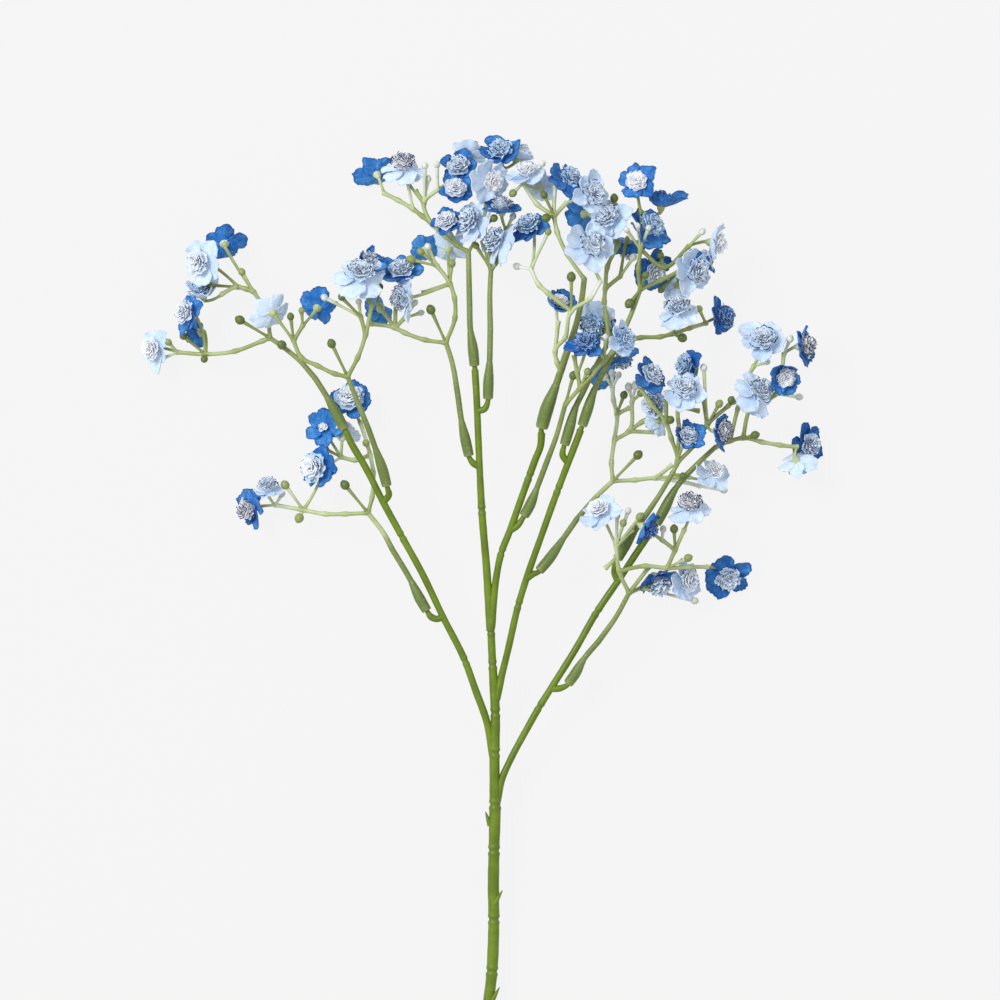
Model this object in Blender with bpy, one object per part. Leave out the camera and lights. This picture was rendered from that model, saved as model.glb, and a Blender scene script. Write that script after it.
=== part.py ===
"""An artificial gypsophila stem lying on a table, as one looks down on it.

A moulded trunk forks into five branches. A steel wire stiffens it from the cut end. Fourteen moulded sprays
plug on to pegs of the branches, each with a sleeve, forked twigs, ball buds and layered blooms. The trunk
lies along Y with its cut end at -Y, and Z is up.
"""

import math
import random

import bmesh
import bpy
from mathutils import Matrix, Quaternion, Vector

MM = 0.001

# The plan of the stem is laid out on a picture whose pixel is this wide on the real thing: the trunk is
# 11 pixels across there, and 4.4 mm across in the hand.
PIXEL = 0.4 * MM
CENTRE_PX = (478.9, 694.2)

TRUNK_RADIUS = 2.2 * MM
WIRE_RADIUS = 0.6 * MM
BORE_RADIUS = 1.0 * MM
GAP = 0.3 * MM

PEG_RADIUS = 0.85 * MM
PEG_FOOT = 1.25 * MM
PEG_DEPTH = 4.6 * MM
SOCKET_RADIUS = 1.3 * MM
SOCKET_DEPTH = PEG_DEPTH + GAP

STEM_RADIUS = 1.0 * MM
TWIG_RADIUS = 0.66 * MM
PEDICEL_RADIUS = 0.6 * MM
SUNK_ROOT = 0.45 * MM
END_OVERLAP = 0.5 * MM

PETAL_THICKNESS = 0.7 * MM
NOTCH, SHOULDER = math.radians(36), math.radians(25)
TABLE_TOLERANCE = 0.001 * MM
CALYX_LENGTH = 3.4 * MM
CALYX_RADIUS = 1.5 * MM
COLLAR_RADIUS = 0.7 * MM

# Three rings make each joint of the moulded trunk: a lip, a groove and the next section.
JOINT_STEP = 1.4 * MM
JOINT_LIP, JOINT_GROOVE = 1.07, 0.84

# The trunk has eight sides and lies on one of them, at the lip of its last joint.
TRUNK_TURN = math.pi / 8
LYING = TRUNK_RADIUS / MM * JOINT_LIP * math.cos(TRUNK_TURN)

# Points are (x, y) in pixels of the picture, the height over the table in mm, and here the radius in mm.
# A point whose last entry is True is a joint between two moulded sections.
TRUNK = (
    (478, 1255, LYING, 2.2), (478.5, 1215, LYING, 2.2, True), (479, 1190, LYING, 2.2),
    (480, 1160, 2.9, 2.2, True), (481.5, 1110, 4.1, 2.2), (483.5, 1070, 5.1, 2.2, True), (486.5, 1020, 6.4, 2.15),
    (492, 972, 7.6, 2.1, True), (493.3, 945, 8.3, 2.1), (493.8, 920, 8.9, 2.1, True),
    (493.4, 885, 9.8, 2.15), (494, 851, 10.6, 2.1, True), (495, 805, 11.8, 2.05, True),
    (494.6, 780, 12.5, 1.95), (494.5, 753, 13.2, 1.85, True), (495, 713, 14.3, 1.7, True),
    (493.5, 690, 15.0, 1.6), (492, 665, 15.7, 1.45, True), (490.8, 631, 16.8, 1.4, True),
    (490.5, 612, 17.3, 1.35),
)
CENTRAL_BRANCH = (
    (490.5, 631, 16.8, 1.1), (488.6, 600, 17.7, 1.25), (486.4, 574, 18.6, 1.2),
    (481.6, 510, 21.0, 1.15, True), (479.6, 467, 22.5, 1.15), (478, 430, 23.2, 1.1),
    (476.5, 395, 23.9, 1.15), (475, 370, 24.4, 1.25),
)
UPPER_BRANCH = (
    (491.2, 628, 17.0, 1.1), (493.6, 600, 18.0, 1.2), (496.5, 578, 18.8, 1.2),
    (501.6, 552, 20.0, 1.25, True), (509.6, 531, 21.2, 1.3), (518.5, 503, 23.2, 1.25),
    (528.5, 476, 25.2, 1.2, True), (535, 460, 26.3, 1.25), (540.5, 446, 27.3, 1.3), (541.5, 433, 28.1, 1.5),
)
RIGHT_BRANCH = (
    (495.5, 700, 14.7, 1.2), (500, 678, 15.7, 1.25), (508, 650, 17.4, 1.2), (519, 605, 20.3, 1.25, True),
    (527.5, 578, 22.0, 1.2), (542, 535, 25.0, 1.2), (557, 489, 28.0, 1.2, True), (567, 462, 30.0, 1.2),
    (580, 430, 32.3, 1.2),
)
LOW_RIGHT_BRANCH = (
    (495.8, 808, 11.8, 1.1), (501.5, 778, 12.3, 1.3), (509, 759, 12.6, 1.3), (526, 728, 13.0, 1.3),
    (539.5, 707, 13.4, 1.3, True), (551, 689, 13.7, 1.3), (574, 652, 14.3, 1.3),
    (597, 612, 15.0, 1.3, True), (620, 579, 15.6, 1.3), (644, 543, 16.6, 1.2), (655, 527, 17.0, 1.15),
)
LOW_LEFT_BRANCH = (
    (493, 757, 13.2, 1.1), (486.5, 722, 14.0, 1.3), (475, 690, 15.0, 1.3), (465, 661, 16.0, 1.3, True),
    (443.6, 617, 17.3, 1.3), (424, 574, 18.2, 1.25), (402.5, 536, 18.8, 1.25, True),
    (384.6, 501, 19.4, 1.2), (367, 465, 19.8, 1.15), (351, 440, 20.0, 1.1), (346, 431.5, 20.0, 1.1),
)
WIRE_KNOTS = (0, 2, 4, 6, 7, 9, 11, 13, 15)
BRANCHES = (CENTRAL_BRANCH, UPPER_BRANCH, RIGHT_BRANCH, LOW_RIGHT_BRANCH, LOW_LEFT_BRANCH)
SPURS = (
    ((490, 826, 11.4), (485.5, 812, 11.6)), ((494, 905, 10.6), (502.5, 891, 10.8)),
    ((491, 1004, 8.2), (499.5, 988, 8.5)), ((483, 1100, 4.4), (476.5, 1086, 4.8)),
)

# The radius of the rosette in mm, for each kind of bloom.
ROSETTES = {"royal": 4.6, "pale": 5.0, "bare": 1.6}

# A spray's sleeve and stem run through the points given for them. Forks are named points. A twig is a
# list of points and forks. A bud is (fork, point, radius in mm). A bloom is (kind, fork, point,
# radius in mm, direction it faces in degrees from +X, degrees it looks up). Its height is None where
# the bloom lies on the table.
SPRAYS = {
    "spray_far_left": {
        "peg": ((347.5, 434, 20),),
        "sleeve": ((344.5, 429, 20), (337, 415, 20.3), (327, 397, 21)),
        "stem": ((315, 378, 20.5), (299, 360, 19.6), (283, 347, 18.6), (270, 338, 18)),
        "forks": {
            "a": (270, 338, 18), "b": (254, 292, 20.5), "c": (238, 287, 20), "d": (222, 294, 18),
            "e": (205, 354, 12), "f": (177, 352, 9.8), "stem": (290, 352, 19.1),
        },
        "twigs": (
            ("a", (262, 341, 17.4), (235, 351, 15), "e", "f"),
            ("a", (267, 315, 19), "b"), ("b", (246, 289, 20), "c", "d"),
        ),
        "buds": (
            ("stem", (282, 345, 22.4), 1.9), ("a", (240, 320, 20), 1.9), ("b", (242, 272, 22), 1.5),
            ("c", (209, 285, 16), 1.4), ("e", (204, 359, 14.5), 1.5), ("e", (183, 336, 13), 1.5),
            ("f", (168, 342, 12), 1.4), ("f", (160, 359, 7), 1.4),
        ),
        "blooms": (
            ("pale", "c", (202, 262, 24), 8.8, 180, 60), ("royal", "b", (224, 243, 12), 7.4, 100, -62),
            ("pale", "d", (202, 292, 14), 7.2, 250, 35), ("royal", "e", (191, 314, 19), 7.6, 165, 50),
            ("royal", "e", (197, 333, 9), 7.0, 200, -30), ("pale", "f", (154, 348, None), 8.4, 190, 42),
        ),
    },
    "spray_left": {
        "peg": ((384.6, 501, 19.4), (389, 494.5, 20.8)),
        "sleeve": ((387, 486, 22.3), (382.5, 469, 23.4), (375.7, 449, 24.9)),
        "stem": ((369, 430, 27), (355, 395, 30), (348, 377, 32)),
        "forks": {
            "a": (348, 377, 32), "b": (294, 341, 30.5), "d": (303, 326, 30), "e": (366, 335, 34),
            "f": (361, 317, 35), "g": (372, 306, 35.5),
        },
        "twigs": (
            ("a", (335, 374, 32.5), (318, 366, 32), (302, 358, 31.5), "b"), ("b", "d"),
            ("a", (358, 358, 33), "e", "g"), ("e", "f"),
        ),
        "buds": (
            ("a", (332, 344, 34), 1.8), ("b", (291, 317, 31), 1.5), ("d", (302, 311, 32), 1.3),
            ("f", (342, 298, 37), 1.4), ("f", (325, 298, 35), 1.4), ("f", (359, 302, 31), 1.3),
        ),
        "blooms": (
            ("pale", "b", (272, 312, 27.5), 8.2, 130, -52), ("royal", "d", (318, 307, 23), 7.0, 60, -55),
            ("pale", "g", (360, 276, 39), 10.2, 52, 52), ("royal", "g", (374, 266, 36), 7.0, 50, 20),
        ),
    },
    "spray_low_left": {
        "peg": ((443.6, 617, 17.3), (436, 619, 17.2), (430, 616, 17)),
        "sleeve": ((427, 611, 17), (420, 599, 17), (411, 581, 16.6)),
        "stem": ((392, 549, 16.3), (384, 534, 16.2), (368, 513, 16)),
        "forks": {
            "a": (368, 513, 16), "b": (303, 510, 12.5), "c": (275, 505, 9.8), "d": (370, 455, 11),
            "e": (360, 422, 8), "f": (341, 457, 8.5),
        },
        "twigs": (
            ("a", (345, 514, 15), (325, 514, 14), "b", "c"),
            ("a", (372, 497, 14.6), (373, 472, 12.4), "d", "e"), ("d", (355, 460, 9.6), "f"),
        ),
        "buds": (
            ("a", (345, 485, 19), 1.9), ("b", (298, 522, 12.5), 1.9), ("b", (285, 484, 15), 1.4),
            ("c", (282, 494, 12), 1.3), ("d", (366, 443, 14), 1.5), ("f", (325, 449, 8), 1.5),
            ("f", (328, 465, 6), 1.4),
        ),
        "blooms": (
            ("royal", "c", (257, 507, None), 7.4, 198, 32), ("pale", "c", (268, 488, 15), 7.5, 95, 43),
            ("royal", "b", (318, 468, 19), 8.4, 165, 56), ("royal", "e", (350, 401, 11), 7.4, 110, 58),
            ("bare", "f", (323, 428, 11), 7.4, 110, 72), ("pale", "f", (343, 434, 9.5), 7.0, 80, -30),
        ),
    },
    "spray_inner_left": {
        "peg": ((479.6, 467, 22.5), (473, 463, 22.7)),
        "sleeve": ((469, 456, 23.1), (465.5, 440, 23.6), (461.5, 421, 24.5)),
        "stem": ((458, 396, 25.1), (452, 362, 26), (446, 343, 26)),
        "forks": {
            "a": (446, 343, 26), "b": (395, 328, 24.5), "c": (377, 303, 22), "d": (396, 302, 24.4),
            "e": (450, 282, 27), "f": (433, 257, 24.5), "g": (405, 318, 25),
        },
        "twigs": (
            ("a", (425, 340, 25.6), (405, 333, 25), "b", (371, 324, 23)), ("b", "c"), ("b", "d"), ("b", "g"),
            ("a", (455, 318, 26.8), (455, 298, 27), "e", (441, 265, 25.4), "f"),
        ),
        "buds": (
            ("a", (431, 310, 28), 1.9), ("c", (380, 287, 20), 1.4), ("g", (415, 303, 26), 1.3),
            ("g", (421, 313, 24), 1.3), ("e", (452, 264, 30), 1.6), ("f", (406, 260, 25), 1.5),
        ),
        "blooms": (
            ("royal", "c", (379, 311, 14), 7.0, 230, -45), ("royal", "d", (400, 273, 27), 7.6, 95, 55),
            ("pale", "e", (409, 297, 31), 8.2, 185, 36), ("royal", "f", (424, 249, 16), 6.8, 120, -58),
            ("pale", "e", (449, 248, 15), 7.6, 80, -55),
        ),
    },
    "spray_top_left": {
        "peg": ((475.3, 374, 24.3),),
        "sleeve": ((474.6, 366, 24.5), (473, 349, 25), (470.5, 331, 25)),
        "stem": ((469.5, 300, 25), (468.5, 252, 25)),
        "forks": {
            "a": (468.5, 252, 25), "b": (458, 247, 25), "d": (431, 223, 22.5), "e": (438, 196, 24),
            "g": (409, 187, 18), "h": (384, 193, 14),
        },
        "twigs": (
            ("a", "b", (444, 237, 24), "d", (418, 205, 20.5), "g"), ("d", "e"), ("g", (398, 198, 16), "h"),
        ),
        "buds": (
            ("g", (427, 178, 20), 1.4), ("g", (427, 165, 23), 1.4), ("e", (436, 169, 26), 1.4),
        ),
        "blooms": (
            ("royal", "b", (447, 224, 30), 6.8, 120, 63), ("pale", "a", (473, 222, 31), 8.4, 165, 57),
            ("royal", "e", (455, 191, 28), 7.2, 80, 57), ("pale", "g", (403, 165, 19), 8.2, 95, 49),
            ("royal", "h", (377, 173, None), 7.2, 130, -8), ("royal", "e", (458, 167, 20), 7.2, 95, 65),
            ("pale", "e", (471, 155, 12), 8.2, 70, -25),
        ),
    },
    "spray_top": {
        "peg": ((477.6, 411, 23.6), (484.5, 409, 24)),
        "sleeve": ((488, 399, 24.7), (488.4, 384, 25.3), (489.6, 362, 26)),
        "stem": ((490.3, 330, 26.6), (490, 290, 27.4), (491, 270, 28)),
        "forks": {
            "a": (491, 270, 28), "b": (485, 226, 32), "c": (487, 203, 33), "d": (506, 230, 30.5),
            "e": (504, 169, 33.5),
        },
        "twigs": (
            ("a", (485, 245, 30.5), "b", "c", (498, 186, 33.4), "e"), ("a", (501, 252, 29), "d"),
        ),
        "buds": (
            ("a", (476, 246, 30), 1.4), ("a", (489, 252, 32), 1.4), ("b", (494, 219, 37), 1.6),
            ("d", (513, 217, 33), 1.4),
        ),
        "blooms": (
            ("pale", "a", (507, 247, 36), 9.4, 172, 32), ("royal", "d", (502, 209, 38), 7.2, 88, 29),
            ("pale", "c", (490, 181, 40), 8.2, 15, 63), ("royal", "e", (500, 152, 34), 8.0, 95, 51),
            ("pale", "e", (518, 157, 26), 8.0, 60, -15),
        ),
    },
    "spray_crown": {
        "peg": ((541.7, 436, 27.9),),
        "sleeve": ((541.6, 428, 28.5), (546.5, 410, 30), (556, 385, 32)),
        "stem": ((566, 355, 35), (575, 328, 37.2), (581, 303, 38.6), (584, 280, 40)),
        "forks": {
            "a": (584, 280, 40), "b": (555, 352, 35), "c": (558, 323, 32), "d": (571, 312, 45),
            "f": (531, 270, 40), "g": (600, 282, 45), "h": (554, 217, 39), "i": (555, 188, 38),
            "j": (566, 204, 39), "k": (523, 184, 37), "side": (561, 374, 33),
        },
        "twigs": (
            ("side", (557, 363, 34), "b", (565, 338, 40), "d", (590, 299, 45.4), "g"), ("b", "c"),
            ("d", (548, 294, 43), (539, 286, 42), "f"),
            ("a", (567, 255, 40), (557, 233, 39.6), "h", "i"), ("h", "j"), ("h", (537, 205, 38), "k"),
        ),
        "buds": (
            ("d", (571, 278, 47), 1.9), ("f", (517, 267, 37), 1.5), ("f", (548, 233, 42), 1.4),
            ("h", (546, 219, 43), 1.8), ("h", (544, 196, 42), 1.5), ("k", (542, 165, 38), 1.4),
            ("k", (513, 194, 37), 1.6),
        ),
        "blooms": (
            ("royal", "c", (556.5, 309, 29), 7.0, 90, 29), ("royal", "f", (531, 229, 37), 7.6, 70, 45),
            ("pale", "g", (590, 247, 50), 9.8, 60, 76), ("royal", "i", (567, 181, 41), 7.4, 80, 51),
            ("pale", "j", (590, 195, 43), 8.4, 20, 61), ("pale", "k", (525, 173, 43), 7.4, 70, 68),
            ("pale", "k", (541, 187, 30), 7.0, 40, -60),
        ),
    },
    "spray_middle": {
        "peg": ((509.6, 531, 21.2), (518, 525, 21.6)),
        "sleeve": ((524, 516, 22.3), (529.5, 506, 23), (536.5, 489, 24.6)),
        "stem": ((546, 464, 28), (556, 437, 32.5), (565, 405, 38)),
        "forks": {
            "a": (565, 405, 38), "b": (580, 388, 41), "c": (577, 374, 42), "d": (604, 361, 44),
            "f": (612, 352, 44.5),
        },
        "twigs": (
            ("a", "b", (592, 375, 42.6), "d", "f"), ("b", "c", (574, 357, 43)),
        ),
        "buds": (
            ("a", (573, 376, 41), 1.7), ("b", (587, 372, 44), 1.4), ("d", (597, 349, 46), 1.4),
            ("d", (605, 338, 46), 1.3),
        ),
        "blooms": (
            ("royal", "c", (585, 344, 49), 8.0, 92, 47), ("pale", "f", (621, 341, 47), 8.0, 5, 43),
        ),
    },
    "spray_upper": {
        "peg": ((567, 462, 30), (562.5, 455, 30.8)),
        "sleeve": ((564.3, 445, 31.7), (568.8, 430, 32.5), (576, 406, 34)),
        "stem": ((583, 392, 34.5), (600, 358, 35.5), (609, 341, 36)),
        "forks": {
            "a": (609, 341, 36), "b": (605, 289, 37), "c": (620, 277, 37), "d": (618, 246, 35),
        },
        "twigs": (
            ("a", (606, 318, 36.4), (604, 302, 36.8), "b", (607, 268, 36), "d"), ("b", "c"),
        ),
        "buds": (
            ("c", (633, 258, 36), 1.5), ("d", (614, 199, 36), 1.7),
        ),
        "blooms": (
            ("pale", "a", (592, 314, 24.5), 8.0, 240, 55), ("royal", "a", (604, 331, 27), 7.2, 30, 27),
            ("royal", "c", (627, 245, 28), 7.4, 270, -25), ("pale", "d", (609, 220, 38), 8.8, 120, 72),
            ("royal", "d", (581, 215, 28), 8.0, 185, -38),
        ),
    },
    "spray_high_right": {
        "peg": ((579, 432, 32.2),),
        "sleeve": ((582, 426, 32.6), (587, 411, 33.4), (595, 388, 34.2)),
        "stem": ((604, 371, 34.6), (618, 343, 35), (629, 319, 35.6), (640, 290, 37)),
        "forks": {
            "a": (617, 345, 35), "b": (640, 290, 37), "c": (672, 334, 25), "d": (706, 323, 12.5),
            "e": (640, 250, 40), "f": (640, 212, 34), "g": (677, 273, 33), "h": (664, 268, 34),
            "i": (688, 247, 28),
        },
        "twigs": (
            ("a", (640, 338, 31), (660, 337, 28), "c", (690, 328, 18.5), "d"),
            ("b", (638, 270, 39), "e", (641, 232, 36), "f"), ("b", (660, 281, 35), "g"), ("e", "h", "i"),
        ),
        "buds": (
            ("c", (682, 338, 28), 1.9), ("d", (699, 309, 22), 1.5), ("b", (629, 304, 39), 1.9), ("e", (626, 231, 45), 1.2),
            ("e", (637, 227, 46), 1.2), ("e", (648, 229, 45), 1.2), ("b", (645, 276, 41), 1.5),
            ("i", (702, 232, 26), 1.4), ("h", (660, 256, 36), 1.5), ("g", (661, 290, 30), 1.4),
        ),
        "blooms": (
            ("royal", "d", (719, 317, None), 7.6, 12, 21), ("pale", "c", (678, 312, 33), 8.2, 100, 54),
            ("royal", "a", (621, 357, 29), 6.6, 300, -14), ("royal", "e", (648, 229, 36), 8.0, 60, 45),
            ("royal", "f", (636, 183, 38), 8.0, 90, 70), ("royal", "f", (661, 206, 27), 7.8, 50, 12),
            ("pale", "g", (694, 271, 32), 8.8, 345, 55), ("royal", "g", (701, 263, 20), 6.6, 60, -25),
            ("pale", "g", (677, 288, 22), 7.6, 260, -45), ("royal", "h", (650, 270, 28), 7.8, 322, 48),
            ("pale", "i", (713, 243, 23), 8.0, 5, 17),
        ),
    },
    "spray_right": {
        "peg": ((527.5, 578, 22), (533, 574, 22)),
        "sleeve": ((539, 571, 21.6), (547.5, 561, 21), (563, 539, 19.5)),
        "stem": ((577, 519, 18.2), (599, 494, 16.6), (613, 481, 16)),
        "forks": {
            "a": (613, 481, 16), "b": (614.5, 440, 15), "c": (617, 414, 15), "d": (612.5, 388, 15),
            "e": (629, 431, 15), "f": (632, 402, 16), "g": (656, 478, 12.5), "h": (689, 477, 11),
        },
        "twigs": (
            ("a", (611.5, 463, 15.5), "b", "c", (613.5, 400, 15), "d"), ("b", "e", "f"),
            ("e", (642, 422, 14.4), (652, 416, 14)), ("e", (664, 433, 13)), ("c", (629, 408, 14.6)),
            ("a", (635, 480, 14), "g", (680, 481, 11), (700, 486, 9.5)), ("g", (672, 465, 12)), ("g", "h"),
        ),
        "buds": (
            ("a", (638, 455, 18), 1.9), ("d", (612, 373, 16), 1.4), ("d", (618.5, 375, 18), 1.4),
            ("c", (624, 395, 17), 1.6), ("g", (724, 490, 8.5), 1.5), ("f", (629, 387, 18), 1.7),
            ("f", (636, 385, 20), 1.8), ("f", (641, 393, 18), 1.6),
        ),
        "blooms": (
            ("royal", "d", (603, 376, 13), 7.0, 150, -60),
            ("pale", "h", (713, 473, 11), 8.0, 32, 38),
        ),
    },
    "spray_wide_right": {
        "peg": ((653.5, 529, 17),),
        "sleeve": ((656.5, 524, 17), (664, 510, 17.3), (676, 488, 18)),
        "stem": ((690, 465, 18.6), (714, 447, 19.4), (745, 437, 20)),
        "forks": {
            "a": (734, 440, 19.8), "b": (745, 437, 20), "c": (797, 447, 12.5), "d": (751, 408, 22),
            "e": (754, 366, 17), "g": (776, 394, 21), "h": (784, 354, 18.5),
        },
        "twigs": (
            ("b", (762, 442, 18), (780, 445, 15.5), "c"), ("b", "d", "g", "h"),
            ("a", (738, 408, 19), (748, 377, 17.4), "e"),
        ),
        "buds": (
            ("b", (755, 435, 22), 1.7), ("e", (767, 362, 17), 1.3), ("g", (799, 397, 21), 1.5),
            ("h", (790, 339, 20), 1.5),
        ),
        "blooms": (
            ("royal", "c", (807, 445, None), 7.4, 0, 34), ("pale", "c", (797, 462, 12), 7.6, 290, -42),
            ("pale", "d", (757, 393, 27), 8.6, 55, 55), ("pale", "e", (763, 340, 22), 8.6, 95, 72),
            ("royal", "g", (785, 376, 32), 7.8, 330, 66), ("royal", "h", (802, 346, 17), 7.6, 10, 17),
        ),
    },
    "spray_mid_right": {
        "peg": ((618, 582, 15.5), (614.5, 572, 16)),
        "sleeve": ((617.5, 559, 16.8), (624, 548, 17.3), (635, 531, 18.2)),
        "stem": ((648, 512, 19.5), (660, 494, 21), (672, 474, 22.5)),
        "forks": {
            "a": (672, 474, 22.5), "b": (677, 463, 23.2), "c": (666, 423, 26), "d": (641, 389, 29),
            "e": (666, 393, 30), "f": (679, 409, 27), "g": (707, 425, 25.5), "h": (728, 406, 24.5),
        },
        "twigs": (
            ("a", "b", (671, 438, 25), "c", (650, 403, 28), "d"), ("c", "e"),
            ("b", (679, 430, 25.6), "f", (698, 411, 25.4)), ("b", (696, 443, 24), "g", "h"),
            ("g", (703, 398, 27)),
        ),
        "buds": (
            ("c", (670, 420, 29), 1.7), ("g", (703.5, 368, 28.5), 1.5), ("h", (731, 400, 26), 1.5),
            ("h", (738, 401, 23), 1.3), ("g", (719, 404, 28), 1.6), ("a", (683, 476, 25), 1.5),
        ),
        "blooms": (
            ("royal", "d", (649, 378, 34), 7.2, 40, 51), ("pale", "c", (655, 422, 23), 6.4, 210, -40),
            ("pale", "e", (655, 402, 29.5), 6.4, 200, 45), ("royal", "f", (690, 366, 26), 7.2, 165, 31),
            ("pale", "f", (684, 391, 33), 8.2, 95, 72), ("royal", "b", (686, 438, 31), 7.0, 60, 55),
            ("royal", "g", (719, 431, 30), 7.6, 8, 14),
        ),
    },
    "spray_low_right": {
        "peg": ((551, 689, 13.7), (560, 688.5, 13.8)),
        "sleeve": ((568, 684, 14.2), (574.5, 675, 14.8), (584, 659, 16)),
        "stem": ((599, 641, 17.5), (616, 617, 19.4), (629, 593, 21)),
        "forks": {
            "a": (629, 593, 21), "b": (620, 567, 24), "c": (616, 546, 25.5), "d": (667, 568, 22),
            "e": (675, 550, 23), "f": (662, 540, 24), "g": (684, 530, 24), "h": (707, 567, 12),
            "i": (641, 588, 16),
        },
        "twigs": (
            ("a", "b", "c"), ("b", (606, 568, 22.6)), ("b", (645, 566, 23), "d", (690, 567, 17.5), "h"),
            ("d", "e", "g"), ("e", "f"), ("a", "i"), ("c", (632, 530, 27.4)),
            ("a", (649, 567, 19)),
        ),
        "buds": (
            ("c", (617, 516, 29), 1.3), ("c", (623, 523, 31), 1.5), ("c", (628, 511, 29), 1.3),
            ("c", (640, 517, 30.5), 1.8), ("e", (674, 529, 25), 1.7), ("f", (663, 529, 26), 1.4),
            ("d", (688, 558, 22.5), 1.7), ("i", (695, 601, 8), 1.5),
        ),
        "blooms": (
            ("pale", "c", (600, 512, 28), 8.2, 85, 52), ("royal", "f", (645, 528, 33), 7.4, 330, 27),
            ("pale", "g", (690, 506, 27), 8.0, 92, 52), ("royal", "h", (728, 577, None), 8.2, 300, 70),
            ("royal", "i", (657, 580, 13), 7.6, 292, 45), ("pale", "i", (685, 580, 13), 8.0, 355, 48),
        ),
    },
}
SLEEVE_RADII = (1.9, 2.05, 1.3)
CROWN_SLEEVE_RADII = (2.6, 2.6, 2.2)

GREEN_TRUNK, GREEN_SPRAY = (0.159, 0.292, 0.033), (0.262, 0.356, 0.09)
ROYAL_BLUE, PALE_BLUE, ROSETTE_WHITE = (0.013, 0.124, 0.456), (0.522, 0.679, 0.888), (0.78, 0.82, 0.9)
STEEL = (0.42, 0.42, 0.43)


def material(name, colour, roughness, metallic=0.0):
    """A plain Principled material, made once for each name."""
    if name in bpy.data.materials:
        return bpy.data.materials[name]
    made = bpy.data.materials.new(name)
    made.use_nodes = True
    made.diffuse_color = (*colour, 1.0)
    shader = made.node_tree.nodes["Principled BSDF"]
    shader.inputs["Base Color"].default_value = (*colour, 1.0)
    shader.inputs["Roughness"].default_value = roughness
    shader.inputs["Metallic"].default_value = metallic
    return made


def place(point):
    """The place of (x pixels, y pixels, height in mm) in the part's frame."""
    return Vector(((point[0] - CENTRE_PX[0]) * PIXEL, (CENTRE_PX[1] - point[1]) * PIXEL, point[2] * MM))


def facing(azimuth, tilt):
    """The unit vector at azimuth degrees from +X in plan and tilt degrees up from the table."""
    azimuth, tilt = math.radians(azimuth), math.radians(tilt)
    return Vector((math.cos(tilt) * math.cos(azimuth), math.cos(tilt) * math.sin(azimuth), math.sin(tilt)))


def new_collection(name):
    made = bpy.data.collections.new(name)
    bpy.context.scene.collection.children.link(made)
    return made


def tube(route, radii, resolution, holder, turn=0.0):
    """A straight-sided tube curve with closed ends through the points of route. It has 4 sides, and 2 more
    for each step of resolution."""
    curve = bpy.data.curves.new("tube", "CURVE")
    curve.dimensions = "3D"
    curve.bevel_depth = MM
    curve.bevel_resolution = resolution
    curve.use_fill_caps = True
    spline = curve.splines.new("POLY")
    spline.points.add(len(route) - 1)
    for knot, where, radius in zip(spline.points, route, radii):
        knot.co = (*where, 1.0)
        knot.radius = radius / MM
        knot.tilt = turn
    made = bpy.data.objects.new("tube", curve)
    holder.objects.link(made)
    return made


def as_meshes(holder, colour):
    """Makes each curve in the collection a closed mesh with this material."""
    bpy.context.view_layer.update()
    graph = bpy.context.evaluated_depsgraph_get()
    for curve in [piece for piece in holder.objects if piece.type == "CURVE"]:
        mesh = bpy.data.meshes.new_from_object(curve.evaluated_get(graph))
        body = bmesh.new()
        body.from_mesh(mesh)
        bmesh.ops.remove_doubles(body, verts=body.verts, dist=0.00001)
        bmesh.ops.recalc_face_normals(body, faces=body.faces)
        body.to_mesh(mesh)
        body.free()
        mesh.materials.clear()
        mesh.materials.append(colour)
        solid = bpy.data.objects.new(curve.name, mesh)
        solid.matrix_world = curve.matrix_world
        holder.objects.link(solid)
        bpy.data.objects.remove(curve)


def apply_boolean(target, operation, holder, solver="EXACT"):
    """Joins or cuts target by every object of the collection, then removes those objects."""
    boolean = target.modifiers.new("join", "BOOLEAN")
    boolean.operation = operation
    boolean.solver = solver
    boolean.operand_type = "COLLECTION"
    boolean.collection = holder
    boolean.material_mode = "TRANSFER"
    bpy.context.view_layer.update()
    mesh = bpy.data.meshes.new_from_object(target.evaluated_get(bpy.context.evaluated_depsgraph_get()))
    target.modifiers.clear()
    target.data = mesh
    for piece in list(holder.objects):
        bpy.data.objects.remove(piece)


def fuse(name, holder, parts):
    """One object made of every solid in the collection."""
    pieces = list(holder.objects)
    body = pieces[0]
    holder.objects.unlink(body)
    parts.objects.link(body)
    body.name = name
    body.data.name = name
    apply_boolean(body, "UNION", holder)
    return body


def with_joints(route):
    """Places and radii along a branch, with the three rings of each moulded joint."""
    places, radii = [], []
    for index, knot in enumerate(route):
        here, radius = place(knot), knot[3] * MM
        if len(knot) == 5:
            step = (place(route[index + 1]) - place(route[index - 1])).normalized() * JOINT_STEP
            places += [here - step, here, here + step]
            radii += [radius * JOINT_LIP, radius * JOINT_GROOVE, radius * JOINT_LIP]
        else:
            places.append(here)
            radii.append(radius)
    return places, radii


def add_peg(plan, holder):
    """The peg that carries a spray: a thick foot from the branch, then a thinner end inside the sleeve."""
    mouth = place(plan["sleeve"][0])
    inwards = (place(plan["sleeve"][1]) - mouth).normalized()
    foot = [place(knot) for knot in plan["peg"]]
    route = foot + [mouth - inwards * 2 * GAP, mouth + inwards * PEG_DEPTH]
    radii = [PEG_FOOT] * len(foot) + [PEG_RADIUS, PEG_RADIUS]
    tube(route, radii, 0, holder)


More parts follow.
